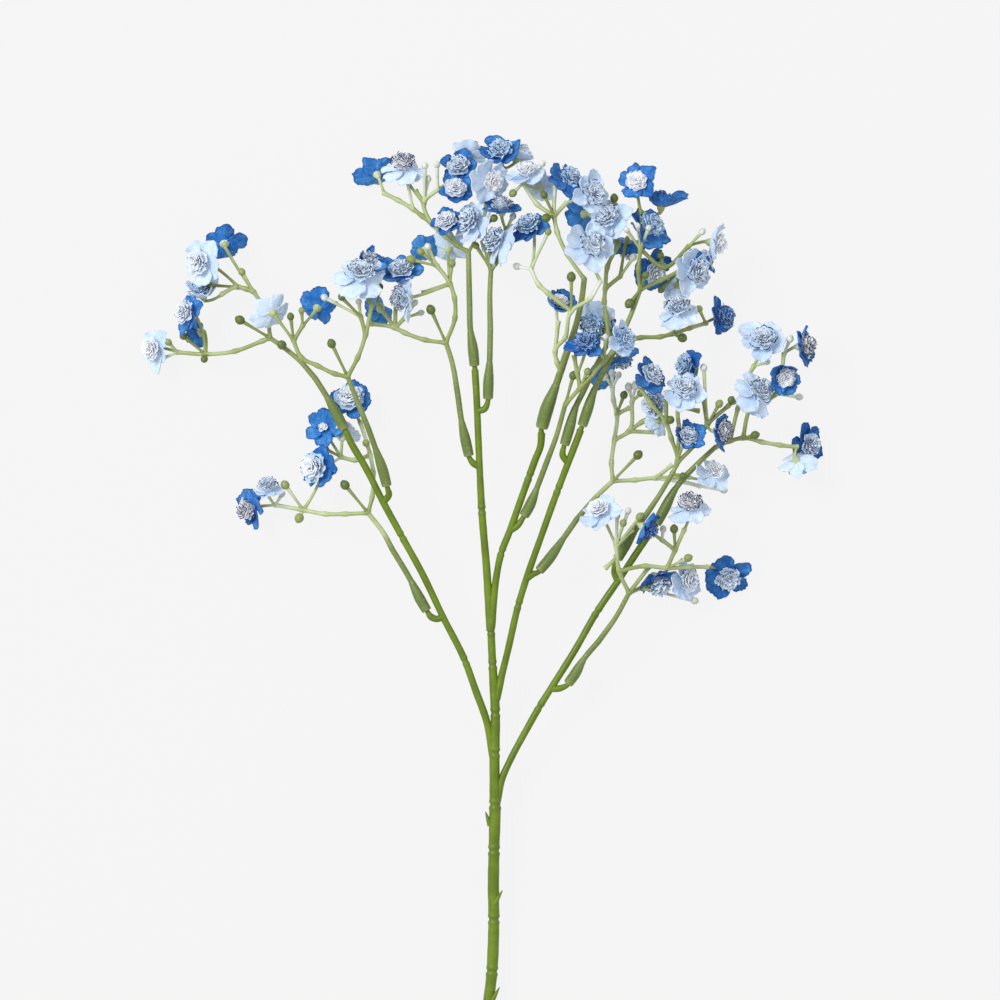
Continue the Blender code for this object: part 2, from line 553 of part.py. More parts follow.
def make_main_stem(parts, cutters):
    """The trunk, its five branches, the pegs for the sprays and the small spurs, bored for the wire."""
    holder = new_collection("main_stem_pieces")
    tube(*with_joints(TRUNK), 2, holder, TRUNK_TURN)
    for branch in BRANCHES:
        tube(*with_joints(branch), 1, holder)
    for plan in SPRAYS.values():
        add_peg(plan, holder)
    for root, tip in SPURS:
        tube([place(root), place(tip)], [0.8 * MM, 0.35 * MM], 0, holder)
    plastic = material("green_moulded_plastic", GREEN_TRUNK, 0.45)
    as_meshes(holder, plastic)
    stem = fuse("main_stem", holder, parts)
    wire = wire_route()
    past_end = wire[0] + (wire[0] - wire[1]).normalized() * 2 * MM
    tube([past_end] + wire + [wire[-1] + (wire[-1] - wire[-2]).normalized() * GAP],
         [BORE_RADIUS] * (len(wire) + 2), 1, cutters)
    as_meshes(cutters, plastic)
    apply_boolean(stem, "DIFFERENCE", cutters)
    return stem


def wire_route():
    """The middle of the trunk from the cut end to the third fork."""
    return [place(TRUNK[index]) for index in WIRE_KNOTS]


def make_core_wire(parts):
    holder = new_collection("core_wire_pieces")
    route = wire_route()
    tube(route, [WIRE_RADIUS] * len(route), 1, holder)
    as_meshes(holder, material("steel_wire", STEEL, 0.35, 1.0))
    wire = holder.objects[0]
    holder.objects.unlink(wire)
    parts.objects.link(wire)
    wire.name = "core_wire"
    wire.data.name = "core_wire"
    return wire


def ring(body, frame, angles, radii, heights):
    """Points round the Z axis of a frame. Radii and heights repeat from point to point."""
    points = []
    for index, angle in enumerate(angles):
        radius, height = radii[index % len(radii)], heights[index % len(heights)]
        points.append(body.verts.new(frame @ Vector((radius * math.cos(angle), radius * math.sin(angle), height))))
    return points


def spaced(count, start=0.0):
    return [start + math.tau * index / count for index in range(count)]


def stitch(body, lower, upper, slot):
    """Triangles between two rings of unlike counts, taken round by the share of each ring passed."""
    i = j = 0
    while i < len(lower) or j < len(upper):
        a, b = lower[i % len(lower)], upper[j % len(upper)]
        if j == len(upper) or (i < len(lower) and (i + 0.5) * len(upper) < (j + 0.5) * len(lower)):
            corners, i = (a, lower[(i + 1) % len(lower)], b), i + 1
        else:
            corners, j = (a, upper[(j + 1) % len(upper)], b), j + 1
        if len(set(corners)) == 3:
            body.faces.new(corners).material_index = slot


def add_petals(body, frame, petal, calyx, neck):
    """Five blunt petals in one sheet, between the calyx under them and the neck of the rosette. A petal has
    two shoulders over one lower point, and shares the notch on each side with its neighbour."""
    cup = 0.16 * petal
    notch = ring(body, frame, spaced(5, -NOTCH), (0.68 * petal,), (0.4 * MM,))
    shoulders = [angle + side * SHOULDER for angle in spaced(5) for side in (-1, 1)]
    under = ring(body, frame, spaced(5), (0.94 * petal,), (cup,))
    over = ring(body, frame, shoulders, (petal,), (cup + PETAL_THICKNESS,))
    stitch(body, calyx, [corner for pair in zip(notch, under) for corner in pair], 1)
    for index, root in enumerate(neck):
        before, after, low = notch[index], notch[(index + 1) % 5], under[index]
        left, right = over[2 * index:2 * index + 2]
        for corners in ((before, low, left), (left, low, right), (low, after, right), (root, before, left),
                        (root, left, right), (root, right, after), (root, after, neck[(index + 1) % 5])):
            body.faces.new(corners).material_index = 1


def add_rosette(body, frame, rosette, neck):
    """The ruffled frill that stands round the hollow middle."""
    frill = ring(body, frame, spaced(10), (rosette, 0.82 * rosette), (0.94 * rosette, 0.76 * rosette))
    middle = ring(body, frame, spaced(1), (0.0,), (0.56 * rosette,))
    stitch(body, neck, frill, 2)
    stitch(body, frill, middle, 2)


def add_pedicel(body, middle, turn, root, calyx):
    """The three-sided stalk from the middle of its fork to the calyx."""
    ahead = turn.to_3x3() @ Vector((0, 0, 1))
    base = middle - ahead * CALYX_LENGTH
    bend = ahead.rotation_difference(base - root)
    rings = [calyx]
    for where, share, radius in ((base, 0.5, COLLAR_RADIUS), (root, 1.0, SUNK_ROOT)):
        across = Quaternion().slerp(bend, share).to_matrix().to_4x4() @ turn
        rings.append(ring(body, Matrix.Translation(where) @ across, spaced(3), (radius,), (0.0,)))
    join_rings(body, rings)
    body.faces.new(rings[-1])


def join_rings(body, rings):
    """Four-cornered faces between rings of the same count."""
    for upper, lower in zip(rings, rings[1:]):
        for index in range(len(upper)):
            after = (index + 1) % len(upper)
            body.faces.new((lower[index], lower[after], upper[after], upper[index]))


def bloom_mesh(kind, petal_radius, turn, middle, root):
    """A bloom on its pedicel: calyx, petals and rosette, facing the way that turn takes +Z."""
    body = bmesh.new()
    frame = Matrix.Translation(middle) @ turn
    rosette = ROSETTES[kind] * MM
    calyx = ring(body, frame, spaced(3), (CALYX_RADIUS,), (-0.5 * MM,))
    neck = ring(body, frame, spaced(5), (0.5 * rosette,), (0.9 * MM,))
    add_petals(body, frame, petal_radius * MM, calyx, neck)
    add_rosette(body, frame, rosette, neck)
    add_pedicel(body, middle, turn, root, calyx)
    bmesh.ops.recalc_face_normals(body, faces=body.faces)
    mesh = bpy.data.meshes.new("bloom")
    body.to_mesh(mesh)
    body.free()
    mesh.materials.append(material("green_spray_plastic", GREEN_SPRAY, 0.5))
    tint = ("pale_petals", PALE_BLUE) if kind == "pale" else ("royal_petals", ROYAL_BLUE)
    mesh.materials.append(material(*tint, 0.8))
    mesh.materials.append(material("rosette_fabric", ROSETTE_WHITE, 0.85))
    return mesh


def add_bloom(plan, bloom, roll, holder):
    """A bloom at its place. One without a height is lowered until its lowest corner is on the table."""
    kind, fork, where, radius, azimuth, tilt = bloom
    turn = facing(azimuth, tilt).to_track_quat("Z", "Y").to_matrix().to_4x4() @ Matrix.Rotation(roll, 4, "Z")
    root = place(plan["forks"][fork])
    middle = place((where[0], where[1], where[2] or radius))
    mesh = bloom_mesh(kind, radius, turn, middle, root)
    while where[2] is None and abs(lowest(mesh)) > TABLE_TOLERANCE:
        middle.z -= lowest(mesh)
        mesh = bloom_mesh(kind, radius, turn, middle, root)
    holder.objects.link(bpy.data.objects.new("bloom", mesh))


def lowest(mesh):
    return min(corner.co.z for corner in mesh.vertices)


def add_bud(plan, bud, holder):
    """A ball bud on its three-sided pedicel."""
    fork, where, size = bud
    root, middle, size = place(plan["forks"][fork]), place(where), size * MM
    turn = (middle - root).to_track_quat("Z", "Y").to_matrix().to_4x4()
    body = bmesh.new()
    rings = []
    for start, height, radius in ((root, 0.0, SUNK_ROOT), (middle, -1.15 * size, PEDICEL_RADIUS),
                                  (middle, -0.35 * size, 1.1 * size)):
        rings.append(ring(body, Matrix.Translation(start) @ turn, spaced(3), (radius,), (height,)))
    join_rings(body, rings)
    crown = ring(body, Matrix.Translation(middle) @ turn, spaced(3, -math.pi / 3), (1.1 * size,), (0.4 * size,))
    tip = ring(body, Matrix.Translation(middle) @ turn, spaced(1), (0.0,), (1.1 * size,))
    stitch(body, rings[-1], crown, 0)
    stitch(body, crown, tip, 0)
    body.faces.new(rings[0])
    bmesh.ops.recalc_face_normals(body, faces=body.faces)
    mesh = bpy.data.meshes.new("bud")
    body.to_mesh(mesh)
    body.free()
    mesh.materials.append(material("green_spray_plastic", GREEN_SPRAY, 0.5))
    holder.objects.link(bpy.data.objects.new("bud", mesh))


def add_twig(plan, twig, holder):
    route = [place(plan["forks"][knot] if isinstance(knot, str) else knot) for knot in twig]
    way = (route[-1] - route[-2]).normalized()
    route[-1] += way * END_OVERLAP
    tube(route, [TWIG_RADIUS] * len(route), 0, holder)


def add_sleeve_and_stem(name, plan, holder):
    route = [place(knot) for knot in plan["sleeve"] + plan["stem"]]
    route[-1] += (route[-1] - route[-2]).normalized() * END_OVERLAP
    radii = CROWN_SLEEVE_RADII if name == "spray_crown" else SLEEVE_RADII
    radii = [radius * MM for radius in radii]
    radii += [STEM_RADIUS * (1.3 if name == "spray_crown" else 1.0)] * len(plan["stem"])
    tube(route, radii, 1, holder)


def make_spray(name, plan, parts, cutters):
    """One plug-in spray: all its green pieces and blooms in one body, with a socket for its peg."""
    holder = new_collection(name + "_pieces")
    add_sleeve_and_stem(name, plan, holder)
    for twig in plan["twigs"]:
        add_twig(plan, twig, holder)
    for bud in plan["buds"]:
        add_bud(plan, bud, holder)
    draw = random.Random(name)
    plastic = material("green_spray_plastic", GREEN_SPRAY, 0.5)
    rolls = [draw.uniform(0, math.tau / 5) for bloom in plan["blooms"]]
    for bloom, roll in zip(plan["blooms"], rolls):
        add_bloom(plan, bloom, roll, holder)
    as_meshes(holder, plastic)
    spray = fuse(name, holder, parts)
    mouth = place(plan["sleeve"][0])
    inwards = (place(plan["sleeve"][1]) - mouth).normalized()
    tube([mouth - inwards * 2 * MM, mouth + inwards * SOCKET_DEPTH], [SOCKET_RADIUS] * 2, 1, cutters)
    as_meshes(cutters, plastic)
    apply_boolean(spray, "DIFFERENCE", cutters)
    return spray


def main():
    for leftover in list(bpy.data.objects):
        bpy.data.objects.remove(leftover)
    parts = new_collection("gypsophila_stem")
    cutters = new_collection("cutters")
    cutters.hide_render = True
    make_main_stem(parts, cutters)
    make_core_wire(parts)
    for name, plan in SPRAYS.items():
        make_spray(name, plan, parts, cutters)


main()
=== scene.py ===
"""An artificial gypsophila stem on a pale light table, seen from straight above.

The moulded trunk, the plug-in sprays and the fabric blooms stand for the solids of the same names, and the
core wire keeps its own solid. Points of the layout are given as in the solids' source: (x pixels, y pixels,
height in mm), where a pixel is 0.4 mm on the real thing.
"""

import math
import random

import bpy
from mathutils import Matrix, Vector
from mathutils.kdtree import KDTree


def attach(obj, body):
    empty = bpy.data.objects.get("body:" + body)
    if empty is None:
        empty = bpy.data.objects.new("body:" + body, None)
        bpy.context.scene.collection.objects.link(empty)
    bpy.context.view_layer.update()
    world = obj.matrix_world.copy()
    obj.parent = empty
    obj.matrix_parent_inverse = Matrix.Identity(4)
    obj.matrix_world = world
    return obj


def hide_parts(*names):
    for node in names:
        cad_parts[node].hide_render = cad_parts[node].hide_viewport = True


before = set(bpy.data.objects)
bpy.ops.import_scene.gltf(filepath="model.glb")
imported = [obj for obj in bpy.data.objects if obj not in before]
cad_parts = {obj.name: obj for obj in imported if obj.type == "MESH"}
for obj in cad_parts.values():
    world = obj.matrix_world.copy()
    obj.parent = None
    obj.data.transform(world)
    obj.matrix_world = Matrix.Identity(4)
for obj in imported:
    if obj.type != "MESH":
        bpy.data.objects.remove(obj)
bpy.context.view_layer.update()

bl_info = {
    "name": "Artificial Gypsophila Stem",
    "version": (1, 0, 0),
    "blender": (4, 5, 0),
    "location": "View3D > Sidebar > Gypsophila",
    "description": "Moulded trunk, plug-in sprays and fabric blooms of a blue artificial gypsophila",
    "category": "Object",
}

MM = 0.001
PIXEL = 0.4 * MM
CENTRE_PX = (478.9, 694.2)

# The height of the trunk where a joint of it lies on the table, in mm.
LYING = 2.2 * 1.09

# Points are (x, y) in pixels of the picture, the height over the table in mm, and here the radius in mm.
# A point whose last entry is True is a joint between two moulded sections.
TRUNK = (
    (478, 1255, LYING, 2.2), (478.5, 1215, LYING, 2.2, True), (479, 1190, LYING, 2.2),
    (480, 1160, 2.9, 2.2, True), (481.5, 1110, 4.1, 2.2), (483.5, 1070, 5.1, 2.2, True),
    (486.5, 1020, 6.4, 2.22), (492, 972, 7.6, 2.25, True), (493.3, 945, 8.3, 2.25),
    (493.8, 920, 8.9, 2.25, True), (493.4, 885, 9.8, 2.27), (494, 851, 10.6, 2.27, True),
    (495, 805, 11.8, 2.25, True), (494.6, 780, 12.5, 2.1), (494.5, 753, 13.2, 2.05, True),
    (495.3, 713, 14.3, 1.9, True), (494.2, 690, 15.0, 1.85), (492.6, 665, 15.7, 1.6, True),
    (491.1, 631, 16.8, 1.55, True), (490.6, 612, 17.3, 1.5),
)
CENTRAL_BRANCH = (
    (490.6, 631, 16.8, 1.3), (488.6, 600, 17.7, 1.55), (487, 574, 18.6, 1.55), (481.8, 510, 21.0, 1.48, True),
    (479.6, 467, 22.5, 1.36), (478, 430, 23.2, 1.34), (476.5, 395, 23.9, 1.4), (475, 370, 24.4, 1.4),
)
UPPER_BRANCH = (
    (491.2, 628, 17.0, 1.3), (493.6, 600, 18.0, 1.4), (496.2, 578, 18.8, 1.4), (501.6, 552, 20.0, 1.4, True),
    (509.8, 531, 21.2, 1.38), (519.6, 503.3, 23.2, 1.42), (529.2, 476.3, 25.2, 1.42, True),
    (535.1, 460, 26.3, 1.42), (540.5, 446, 27.3, 1.42), (541.5, 433, 28.1, 1.6),
)
RIGHT_BRANCH = (
    (496, 700, 14.7, 1.3), (501.1, 678.3, 15.7, 1.36), (508, 650, 17.4, 1.36),
    (518.4, 604.9, 20.3, 1.38, True), (526.7, 577.7, 22.0, 1.36), (541.7, 534.9, 25.0, 1.34),
    (558, 489.4, 28.0, 1.36, True), (568.2, 462.5, 30.0, 1.4), (580.6, 430.2, 32.3, 1.4),
)
LOW_RIGHT_BRANCH = (
    (495.8, 808, 11.8, 1.2), (502.3, 778.3, 12.3, 1.38), (510.5, 759.9, 12.6, 1.4),
    (527.3, 728.6, 13.0, 1.38), (539.5, 707, 13.4, 1.42, True), (550.8, 688.9, 13.7, 1.4),
    (574, 652, 14.3, 1.4), (597, 612, 15.0, 1.4, True), (619.6, 578.8, 15.6, 1.4), (643.6, 542.8, 16.6, 1.34),
    (655, 527, 17.0, 1.2),
)
LOW_LEFT_BRANCH = (
    (493, 757, 13.2, 1.2), (486.8, 722.1, 14.0, 1.45), (475.4, 689.9, 15.0, 1.46),
    (465, 661, 16.0, 1.4, True), (443.1, 617.2, 17.3, 1.36), (422.8, 574.6, 18.2, 1.36),
    (401.8, 536.3, 18.8, 1.38, True), (383, 501.8, 19.4, 1.38), (364.8, 466.1, 19.8, 1.38),
    (350, 440.6, 20.0, 1.38), (346, 431.5, 20.0, 1.3),
)
BRANCHES = (CENTRAL_BRANCH, UPPER_BRANCH, RIGHT_BRANCH, LOW_RIGHT_BRANCH, LOW_LEFT_BRANCH)
# The foot and the tip of each small pointed leaf scar.
SPURS = (
    ((490, 826, 11.4), (485.5, 812, 11.6)), ((494, 905, 10.6), (502.5, 891, 10.8)),
    ((491, 1004, 8.2), (499.5, 988, 8.5)), ((483, 1100, 4.4), (476.5, 1086, 4.8)),
)

# A spray's tones say how faded its green is, from 0 for the sleeve's to 1 for cream: at its stem, at the
# roots of its twigs, and how much more at their tips. Its sleeve and stem run through their points. Forks are
# named points, and a twig is a list of points and forks. A bud is (fork, point, radius in mm, how faded it
# is). A bloom is (kind, fork, point, radius in mm, direction it faces in degrees from +X, degrees it looks
# up, look of its rosette, pressing of its petals). Its height is None where it lies on the table.
SPRAYS = {
    "spray_far_left": dict(
        tones=(0.32, 0.48, 0.2), peg=((347.5, 434, 20),),
        sleeve=((344.5, 429, 20), (337, 415, 20.3), (327, 397, 21)),
        stem=((315, 378, 20.5), (299, 360, 19.6), (283, 347, 18.6), (270, 338, 18)),
        forks=dict(
            a=(270, 338, 18), b=(254, 292, 20.5), c=(238, 287, 20), d=(222, 294, 18), e=(205, 354, 12),
            f=(177, 352, 9.8), stem=(290, 352, 19.1),
        ),
        twigs=(
            ("a", (262, 341, 17.4), (235, 351, 15), "e", "f"), ("a", (267, 315, 19), "b"),
            ("b", (246, 289, 20), "c", "d"),
        ),
        buds=(
            ("stem", (282, 345, 22.4), 1.9, 0), ("a", (240, 320, 20), 1.9, 0),
            ("b", (242, 272, 22), 1.5, 0.5), ("c", (209, 285, 16), 1.4, 0), ("e", (204, 359, 14.5), 1.5, 0),
            ("e", (183, 336, 13), 1.5, 0), ("f", (168, 342, 12), 1.4, 0.5), ("f", (160, 359, 7), 1.4, 1),
        ),
        blooms=(
            ("pale", "c", (202, 262, 24), 9.6, 180, 48, "white", "wide"),
            ("royal", "b", (224, 243, 12), 8.4, 100, -62, "navy", "flat"),
            ("pale", "d", (202, 294, 14), 7.4, 110, 30, "sky", "cup"),
            ("royal", "e", (189, 313, 19), 8.6, 165, 36, "white", "wide"),
            ("royal", "e", (197, 333, 9), 7.0, 200, -30, "navy", "open"),
            ("pale", "f", (155, 348, None), 9.2, 185, 40, "clean", "wide"),
        ),
    ),
    "spray_left": dict(
        tones=(0.31, 0.46, 0.15), peg=((384.6, 501, 19.4), (389, 494.5, 20.8)),
        sleeve=((387, 486, 22.3), (382.5, 469, 23.4), (375.7, 449, 24.9)),
        stem=((369, 430, 27), (355, 395, 30), (348, 377, 32)),
        forks=dict(
            a=(348, 377, 32), b=(294, 341, 30.5), d=(303, 326, 30), e=(366, 335, 34), f=(361, 317, 35),
            g=(372, 306, 35.5),
        ),
        twigs=(
            ("a", (335, 374, 32.5), (318, 366, 32), (302, 358, 31.5), "b"), ("b", "d"),
            ("a", (358, 358, 33), "e", "g"), ("e", "f"),
        ),
        buds=(
            ("a", (332, 344, 34), 1.8, 0), ("b", (291, 317, 31), 1.5, 0), ("d", (302, 311, 32), 1.3, 0.5),
            ("f", (342, 298, 37), 1.4, 0), ("f", (325, 298, 35), 1.4, 1), ("f", (359, 302, 31), 1.3, 1),
        ),
        blooms=(
            ("pale", "b", (272, 312, 27.5), 8.2, 130, -52, "navy", "open"),
            ("royal", "d", (318, 307, 23), 7.8, 60, -55, "navy", "open"),
            ("pale", "g", (360, 276, 39), 11.2, 85, 45, "lined", "plate"),
            ("royal", "g", (368, 264, 30), 7.0, 60, 30, "navy", "cup"),
        ),
    ),
    "spray_low_left": dict(
        tones=(0.6, 0.56, 0.3), peg=((443.6, 617, 17.3), (436, 619, 17.2), (430, 616, 17)),
        sleeve=((427, 611, 17), (420, 599, 17), (411, 581, 16.6)),
        stem=((392, 549, 16.3), (384, 534, 16.2), (368, 513, 16)),
        forks=dict(
            a=(368, 513, 16), b=(303, 510, 12.5), c=(275, 505, 9.8), d=(370, 455, 11), e=(360, 422, 8),
            f=(341, 457, 8.5),
        ),
        twigs=(
            ("a", (345, 514, 15), (325, 514, 14), "b", "c"),
            ("a", (372, 497, 14.6), (373, 472, 12.4), "d", "e"), ("d", (355, 460, 9.6), "f"),
        ),
        buds=(
            ("a", (345, 485, 19), 1.9, 0), ("b", (299, 518, 12.5), 1.9, 0.5), ("b", (285, 485, 15), 1.8, 0.5),
            ("c", (282, 494, 12), 1.3, 1), ("d", (366, 443, 14), 1.5, 0.5), ("f", (325, 449, 8), 1.5, 0),
            ("f", (328, 465, 6), 1.4, 1),
        ),
        blooms=(
            ("royal", "c", (251, 508, None), 8.2, 192, 30, "ink", "wide"),
            ("pale", "c", (268, 489, 15), 6.2, 95, 26, "navy", "wide"),
            ("royal", "b", (318, 468, 19), 8.8, 172, 50, "halo", "wide"),
            ("royal", "e", (350, 401, 11), 8.6, 100, 56, "halo", "wide"),
            ("bare", "f", (323, 428, 11), 8.0, 110, 72, "white", "flat"),
            ("pale", "f", (343, 434, 9.5), 7.0, 80, -30, "white", "open"),
        ),
    ),
    "spray_inner_left": dict(
        tones=(0.33, 0.47, 0.15), peg=((479.6, 467, 22.5), (473, 463, 22.7)),
        sleeve=((469, 456, 23.1), (465.5, 440, 23.6), (461.5, 421, 24.5)),
        stem=((458, 396, 25.1), (452, 362, 26), (446, 343, 26)),
        forks=dict(
            a=(446, 343, 26), b=(395, 328, 24.5), c=(377, 303, 22), d=(396, 302, 24.4), e=(450, 284, 27),
            f=(437, 266, 25.5), g=(405, 318, 25),
        ),
        twigs=(
            ("a", (425, 340, 25.6), (405, 333, 25), "b", (371, 324, 23)), ("b", "c"), ("b", "d"), ("b", "g"),
            ("a", (455, 318, 26.8), (454.5, 298, 27), "e", "f"), ("e", (423, 293, 26)),
        ),
        buds=(
            ("a", (431, 310, 28), 1.9, 0), ("c", (380, 287, 20), 1.4, 0), ("g", (415, 303, 26), 1.3, 1),
            ("g", (421, 313, 24), 1.3, 1), ("e", (452, 264, 30), 1.6, 0.5), ("f", (411, 260, 27), 1.9, 0.5),
            ("f", (421, 252, 28.5), 1.5, 0.5), ("f", (428, 247, 30), 1.4, 1),
        ),
        blooms=(
            ("royal", "c", (379, 311, 14), 7.0, 230, -45, "sky", "open"),
            ("royal", "d", (401, 273, 27), 9.2, 92, 38, "lined", "open"),
            ("pale", "e", (406, 298, 31), 9.4, 185, 20, "navy", "wide"),
            ("royal", "f", (424, 249, 16), 6.8, 120, -58, "navy", "open"),
            ("pale", "e", (449, 248, 15), 7.6, 80, -55, "navy", "open"),
        ),
    ),
    "spray_top_left": dict(
        tones=(0.48, 0.47, 0.32), peg=((475.3, 374, 24.3),),
        sleeve=((474.6, 366, 24.5), (473, 349, 25), (470.5, 331, 25)),
        stem=((469.5, 300, 25), (468.5, 252, 25)),
        forks=dict(
            a=(468.5, 252, 25), b=(458, 246, 25), d=(432, 224, 22.5), e=(438, 190, 24), f=(413, 209, 18.5),
            g=(424, 203, 20.5), h=(384, 193, 14),
        ),
        twigs=(
            ("a", "b", (446, 237, 24), "d", "g", "e"), ("d", (422, 216, 20.5), "f", (398, 200, 16), "h"),
            ("g", (416, 191, 20)),
        ),
        buds=(
            ("g", (428, 179, 20), 1.4, 1), ("g", (425, 166, 23), 1.4, 1), ("e", (437, 165, 26), 1.4, 1),
            ("f", (407, 180, 19), 1.3, 1),
        ),
        blooms=(
            ("royal", "b", (447, 224, 30), 7.0, 110, 50, "white", "open"),
            ("pale", "a", (473, 223, 31), 9.8, 150, 40, "lined", "wide"),
            ("royal", "e", (455, 191, 28), 7.4, 80, 56, "white", "open"),
            ("pale", "g", (403, 167, 19), 9.4, 95, 32, "ink", "plate"),
            ("royal", "h", (376, 172, None), 8.4, 115, -45, "navy", "open"),
            ("royal", "e", (458, 168, 20), 8.0, 95, 58, "lined", "open"),
            ("pale", "e", (471, 155, 12), 8.2, 70, -25, "navy", "open"),
        ),
    ),
    "spray_top": dict(
        tones=(0.32, 0.36, 0.2), peg=((477.6, 411, 23.6), (484.5, 409, 24)),
        sleeve=((488, 399, 24.7), (488.4, 384, 25.3), (489.6, 362, 26)),
        stem=((490.3, 330, 26.6), (490, 290, 27.4), (491, 270, 28)),
        forks=dict(
            a=(491, 270, 28), b=(485, 226, 32), c=(487, 203, 33), d=(506, 230, 30.5), e=(504, 169, 33.5),
        ),
        twigs=(("a", (485, 245, 30.5), "b", "c", (498, 186, 33.4), "e"), ("a", (501, 252, 29), "d")),
        buds=(
            ("a", (476, 246, 30), 1.4, 0.5), ("a", (489, 252, 32), 1.4, 0.5), ("b", (494, 219, 37), 1.6, 0),
            ("d", (513, 217, 33), 1.4, 1),
        ),
        blooms=(
            ("pale", "a", (499, 243, 36), 11.0, 150, 25, "lined", "droop"),
            ("royal", "d", (502, 210, 38), 7.6, 88, 20, "navy", "open"),
            ("pale", "c", (490, 181, 40), 9.2, -20, 52, "clean", "wide"),
            ("royal", "e", (500, 154, 34), 8.9, 95, 42, "sky", "open"),
            ("pale", "e", (518, 157, 26), 8.0, 60, -15, "white", "open"),
        ),
    ),
    "spray_crown": dict(
        tones=(0.32, 0.58, 0.3), peg=((541.7, 436, 27.9),),
        sleeve=((541.6, 428, 28.5), (546.5, 410, 30), (556, 385, 32)),
        stem=((566, 355, 35), (575, 328, 37.2), (581, 303, 38.6), (584, 280, 40)),
        forks=dict(
            a=(584, 280, 40), b=(555, 352, 35), c=(558, 323, 32), d=(571, 312, 45), f=(531, 270, 40),
            g=(600, 282, 45), h=(554, 217, 39), i=(555, 188, 38), j=(566, 204, 39), k=(523, 184, 37),
            side=(561, 374, 33),
        ),
        twigs=(
            ("side", (557, 363, 34), "b", (565, 338, 40), "d", (590, 299, 45.4), "g"), ("b", "c"),
            ("d", (548, 294, 43), (539, 286, 42), "f"), ("a", (567, 255, 40), (557, 233, 39.6), "h", "i"),
            ("h", "j"), ("h", (537, 205, 38), "k"),
        ),
        buds=(
            ("d", (571, 278, 47), 1.9, 0), ("f", (517, 267, 37), 1.5, 1), ("f", (548, 233, 42), 1.4, 0.5),
            ("h", (546, 219, 43), 1.8, 0), ("h", (544, 196, 42), 1.5, 0), ("k", (542, 165, 38), 1.4, 1),
            ("k", (513, 194, 37), 1.6, 0.5),
        ),
        blooms=(
            ("royal", "c", (558, 305, 29), 7.6, 75, 40, "clean", "cup"),
            ("royal", "f", (531, 229, 37), 8.6, 120, 40, "sky", "wide"),
            ("pale", "g", (590, 247, 50), 10.4, 40, 62, "lined", "wide"),
            ("royal", "i", (567, 181, 41), 8.2, 45, 42, "sky", "wide"),
            ("pale", "j", (590, 195, 43), 9.0, 20, 55, "lined", "wide"),
            ("pale", "k", (526, 176, 40), 7.8, 100, 30, "clean", "wide"),
            ("pale", "k", (541, 187, 30), 7.0, 40, -60, "white", "open"),
        ),
    ),
    "spray_middle": dict(
        tones=(0.28, 0.46, 0.1), peg=((509.6, 531, 21.2), (518, 525, 21.6)),
        sleeve=((524, 516, 22.3), (529.5, 506, 23), (536.5, 489, 24.6)),
        stem=((546, 464, 28), (556, 437, 32.5), (565, 405, 38)),
        forks=dict(
            a=(565, 405, 38), b=(580, 388, 41), c=(577, 374, 42), d=(604, 361, 44), f=(612, 352, 44.5),
        ),
        twigs=(("a", "b", (592, 375, 42.6), "d", "f"), ("b", "c", (574, 357, 43))),
        buds=(
            ("a", (573, 376, 41), 1.7, 0), ("b", (587, 372, 44), 1.4, 0.5), ("d", (597, 349, 46), 1.4, 1),
            ("d", (605, 338, 46), 1.3, 1),
        ),
        blooms=(
            ("royal", "c", (585, 346, 49), 8.0, 92, 48, "teal", "wide"),
            ("pale", "f", (621, 341, 47), 7.6, 20, 44, "sky", "wide"),
        ),
    ),
    "spray_upper": dict(
        tones=(0.28, 0.44, 0.15), peg=((567, 462, 30), (562.5, 455, 30.8)),
        sleeve=((564.3, 445, 31.7), (568.8, 430, 32.5), (576, 406, 34)),
        stem=((583, 392, 34.5), (600, 358, 35.5), (609, 341, 36)),
        forks=dict(a=(609, 341, 36), b=(605, 289, 37), c=(620, 277, 37), d=(618, 246, 35)),
        twigs=(("a", (606, 318, 36.4), (604, 302, 36.8), "b", (607, 268, 36), "d"), ("b", "c")),
        buds=(("c", (633, 258, 36), 1.5, 1), ("d", (614, 199, 36), 1.7, 0)),
        blooms=(
            ("pale", "a", (594, 321, 33), 8.6, 240, 50, "sky", "plate"),
            ("royal", "a", (604, 331, 27), 7.2, 30, 27, "sky", "cup"),
            ("royal", "c", (627, 245, 28), 8.4, 270, -25, "navy", "open"),
            ("pale", "d", (609, 220, 38), 9.4, 130, 50, "lined", "wide"),
            ("royal", "d", (581, 215, 28), 9.4, 185, -38, "navy", "open"),
        ),
    ),
    "spray_high_right": dict(
        tones=(0.27, 0.38, 0.25), peg=((579, 432, 32.2),),
        sleeve=((582, 426, 32.6), (587, 411, 33.4), (595, 388, 34.2)),
        stem=((604, 371, 34.6), (618, 343, 35), (629, 319, 35.6), (640, 290, 37)),
        forks=dict(
            a=(617, 345, 35), b=(640, 290, 37), c=(672, 334, 25), d=(706, 323, 12.5), e=(640, 250, 40),
            f=(640, 212, 34), g=(677, 273, 33), h=(664, 268, 34), i=(688, 247, 28),
        ),
        twigs=(
            ("a", (640, 338, 31), (660, 337, 28), "c", (690, 328, 18.5), "d"),
            ("b", (638, 270, 39), "e", (641, 232, 36), "f"), ("b", (660, 281, 35), "g"), ("e", "h", "i"),
        ),
        buds=(
            ("c", (682, 338, 28), 1.9, 0), ("d", (699, 309, 22), 1.5, 0.5), ("b", (629, 304, 39), 1.9, 0),
            ("e", (626, 231, 45), 1.2, 1), ("e", (637, 227, 46), 1.2, 1), ("e", (648, 229, 45), 1.2, 1),
            ("b", (645, 276, 41), 1.5, 0), ("i", (702, 232, 26), 1.4, 1), ("h", (660, 256, 36), 1.5, 0),
            ("g", (661, 290, 30), 1.4, 0),
        ),
        blooms=(
            ("royal", "d", (721, 317, None), 8.2, 12, 30, "teal", "wide"),
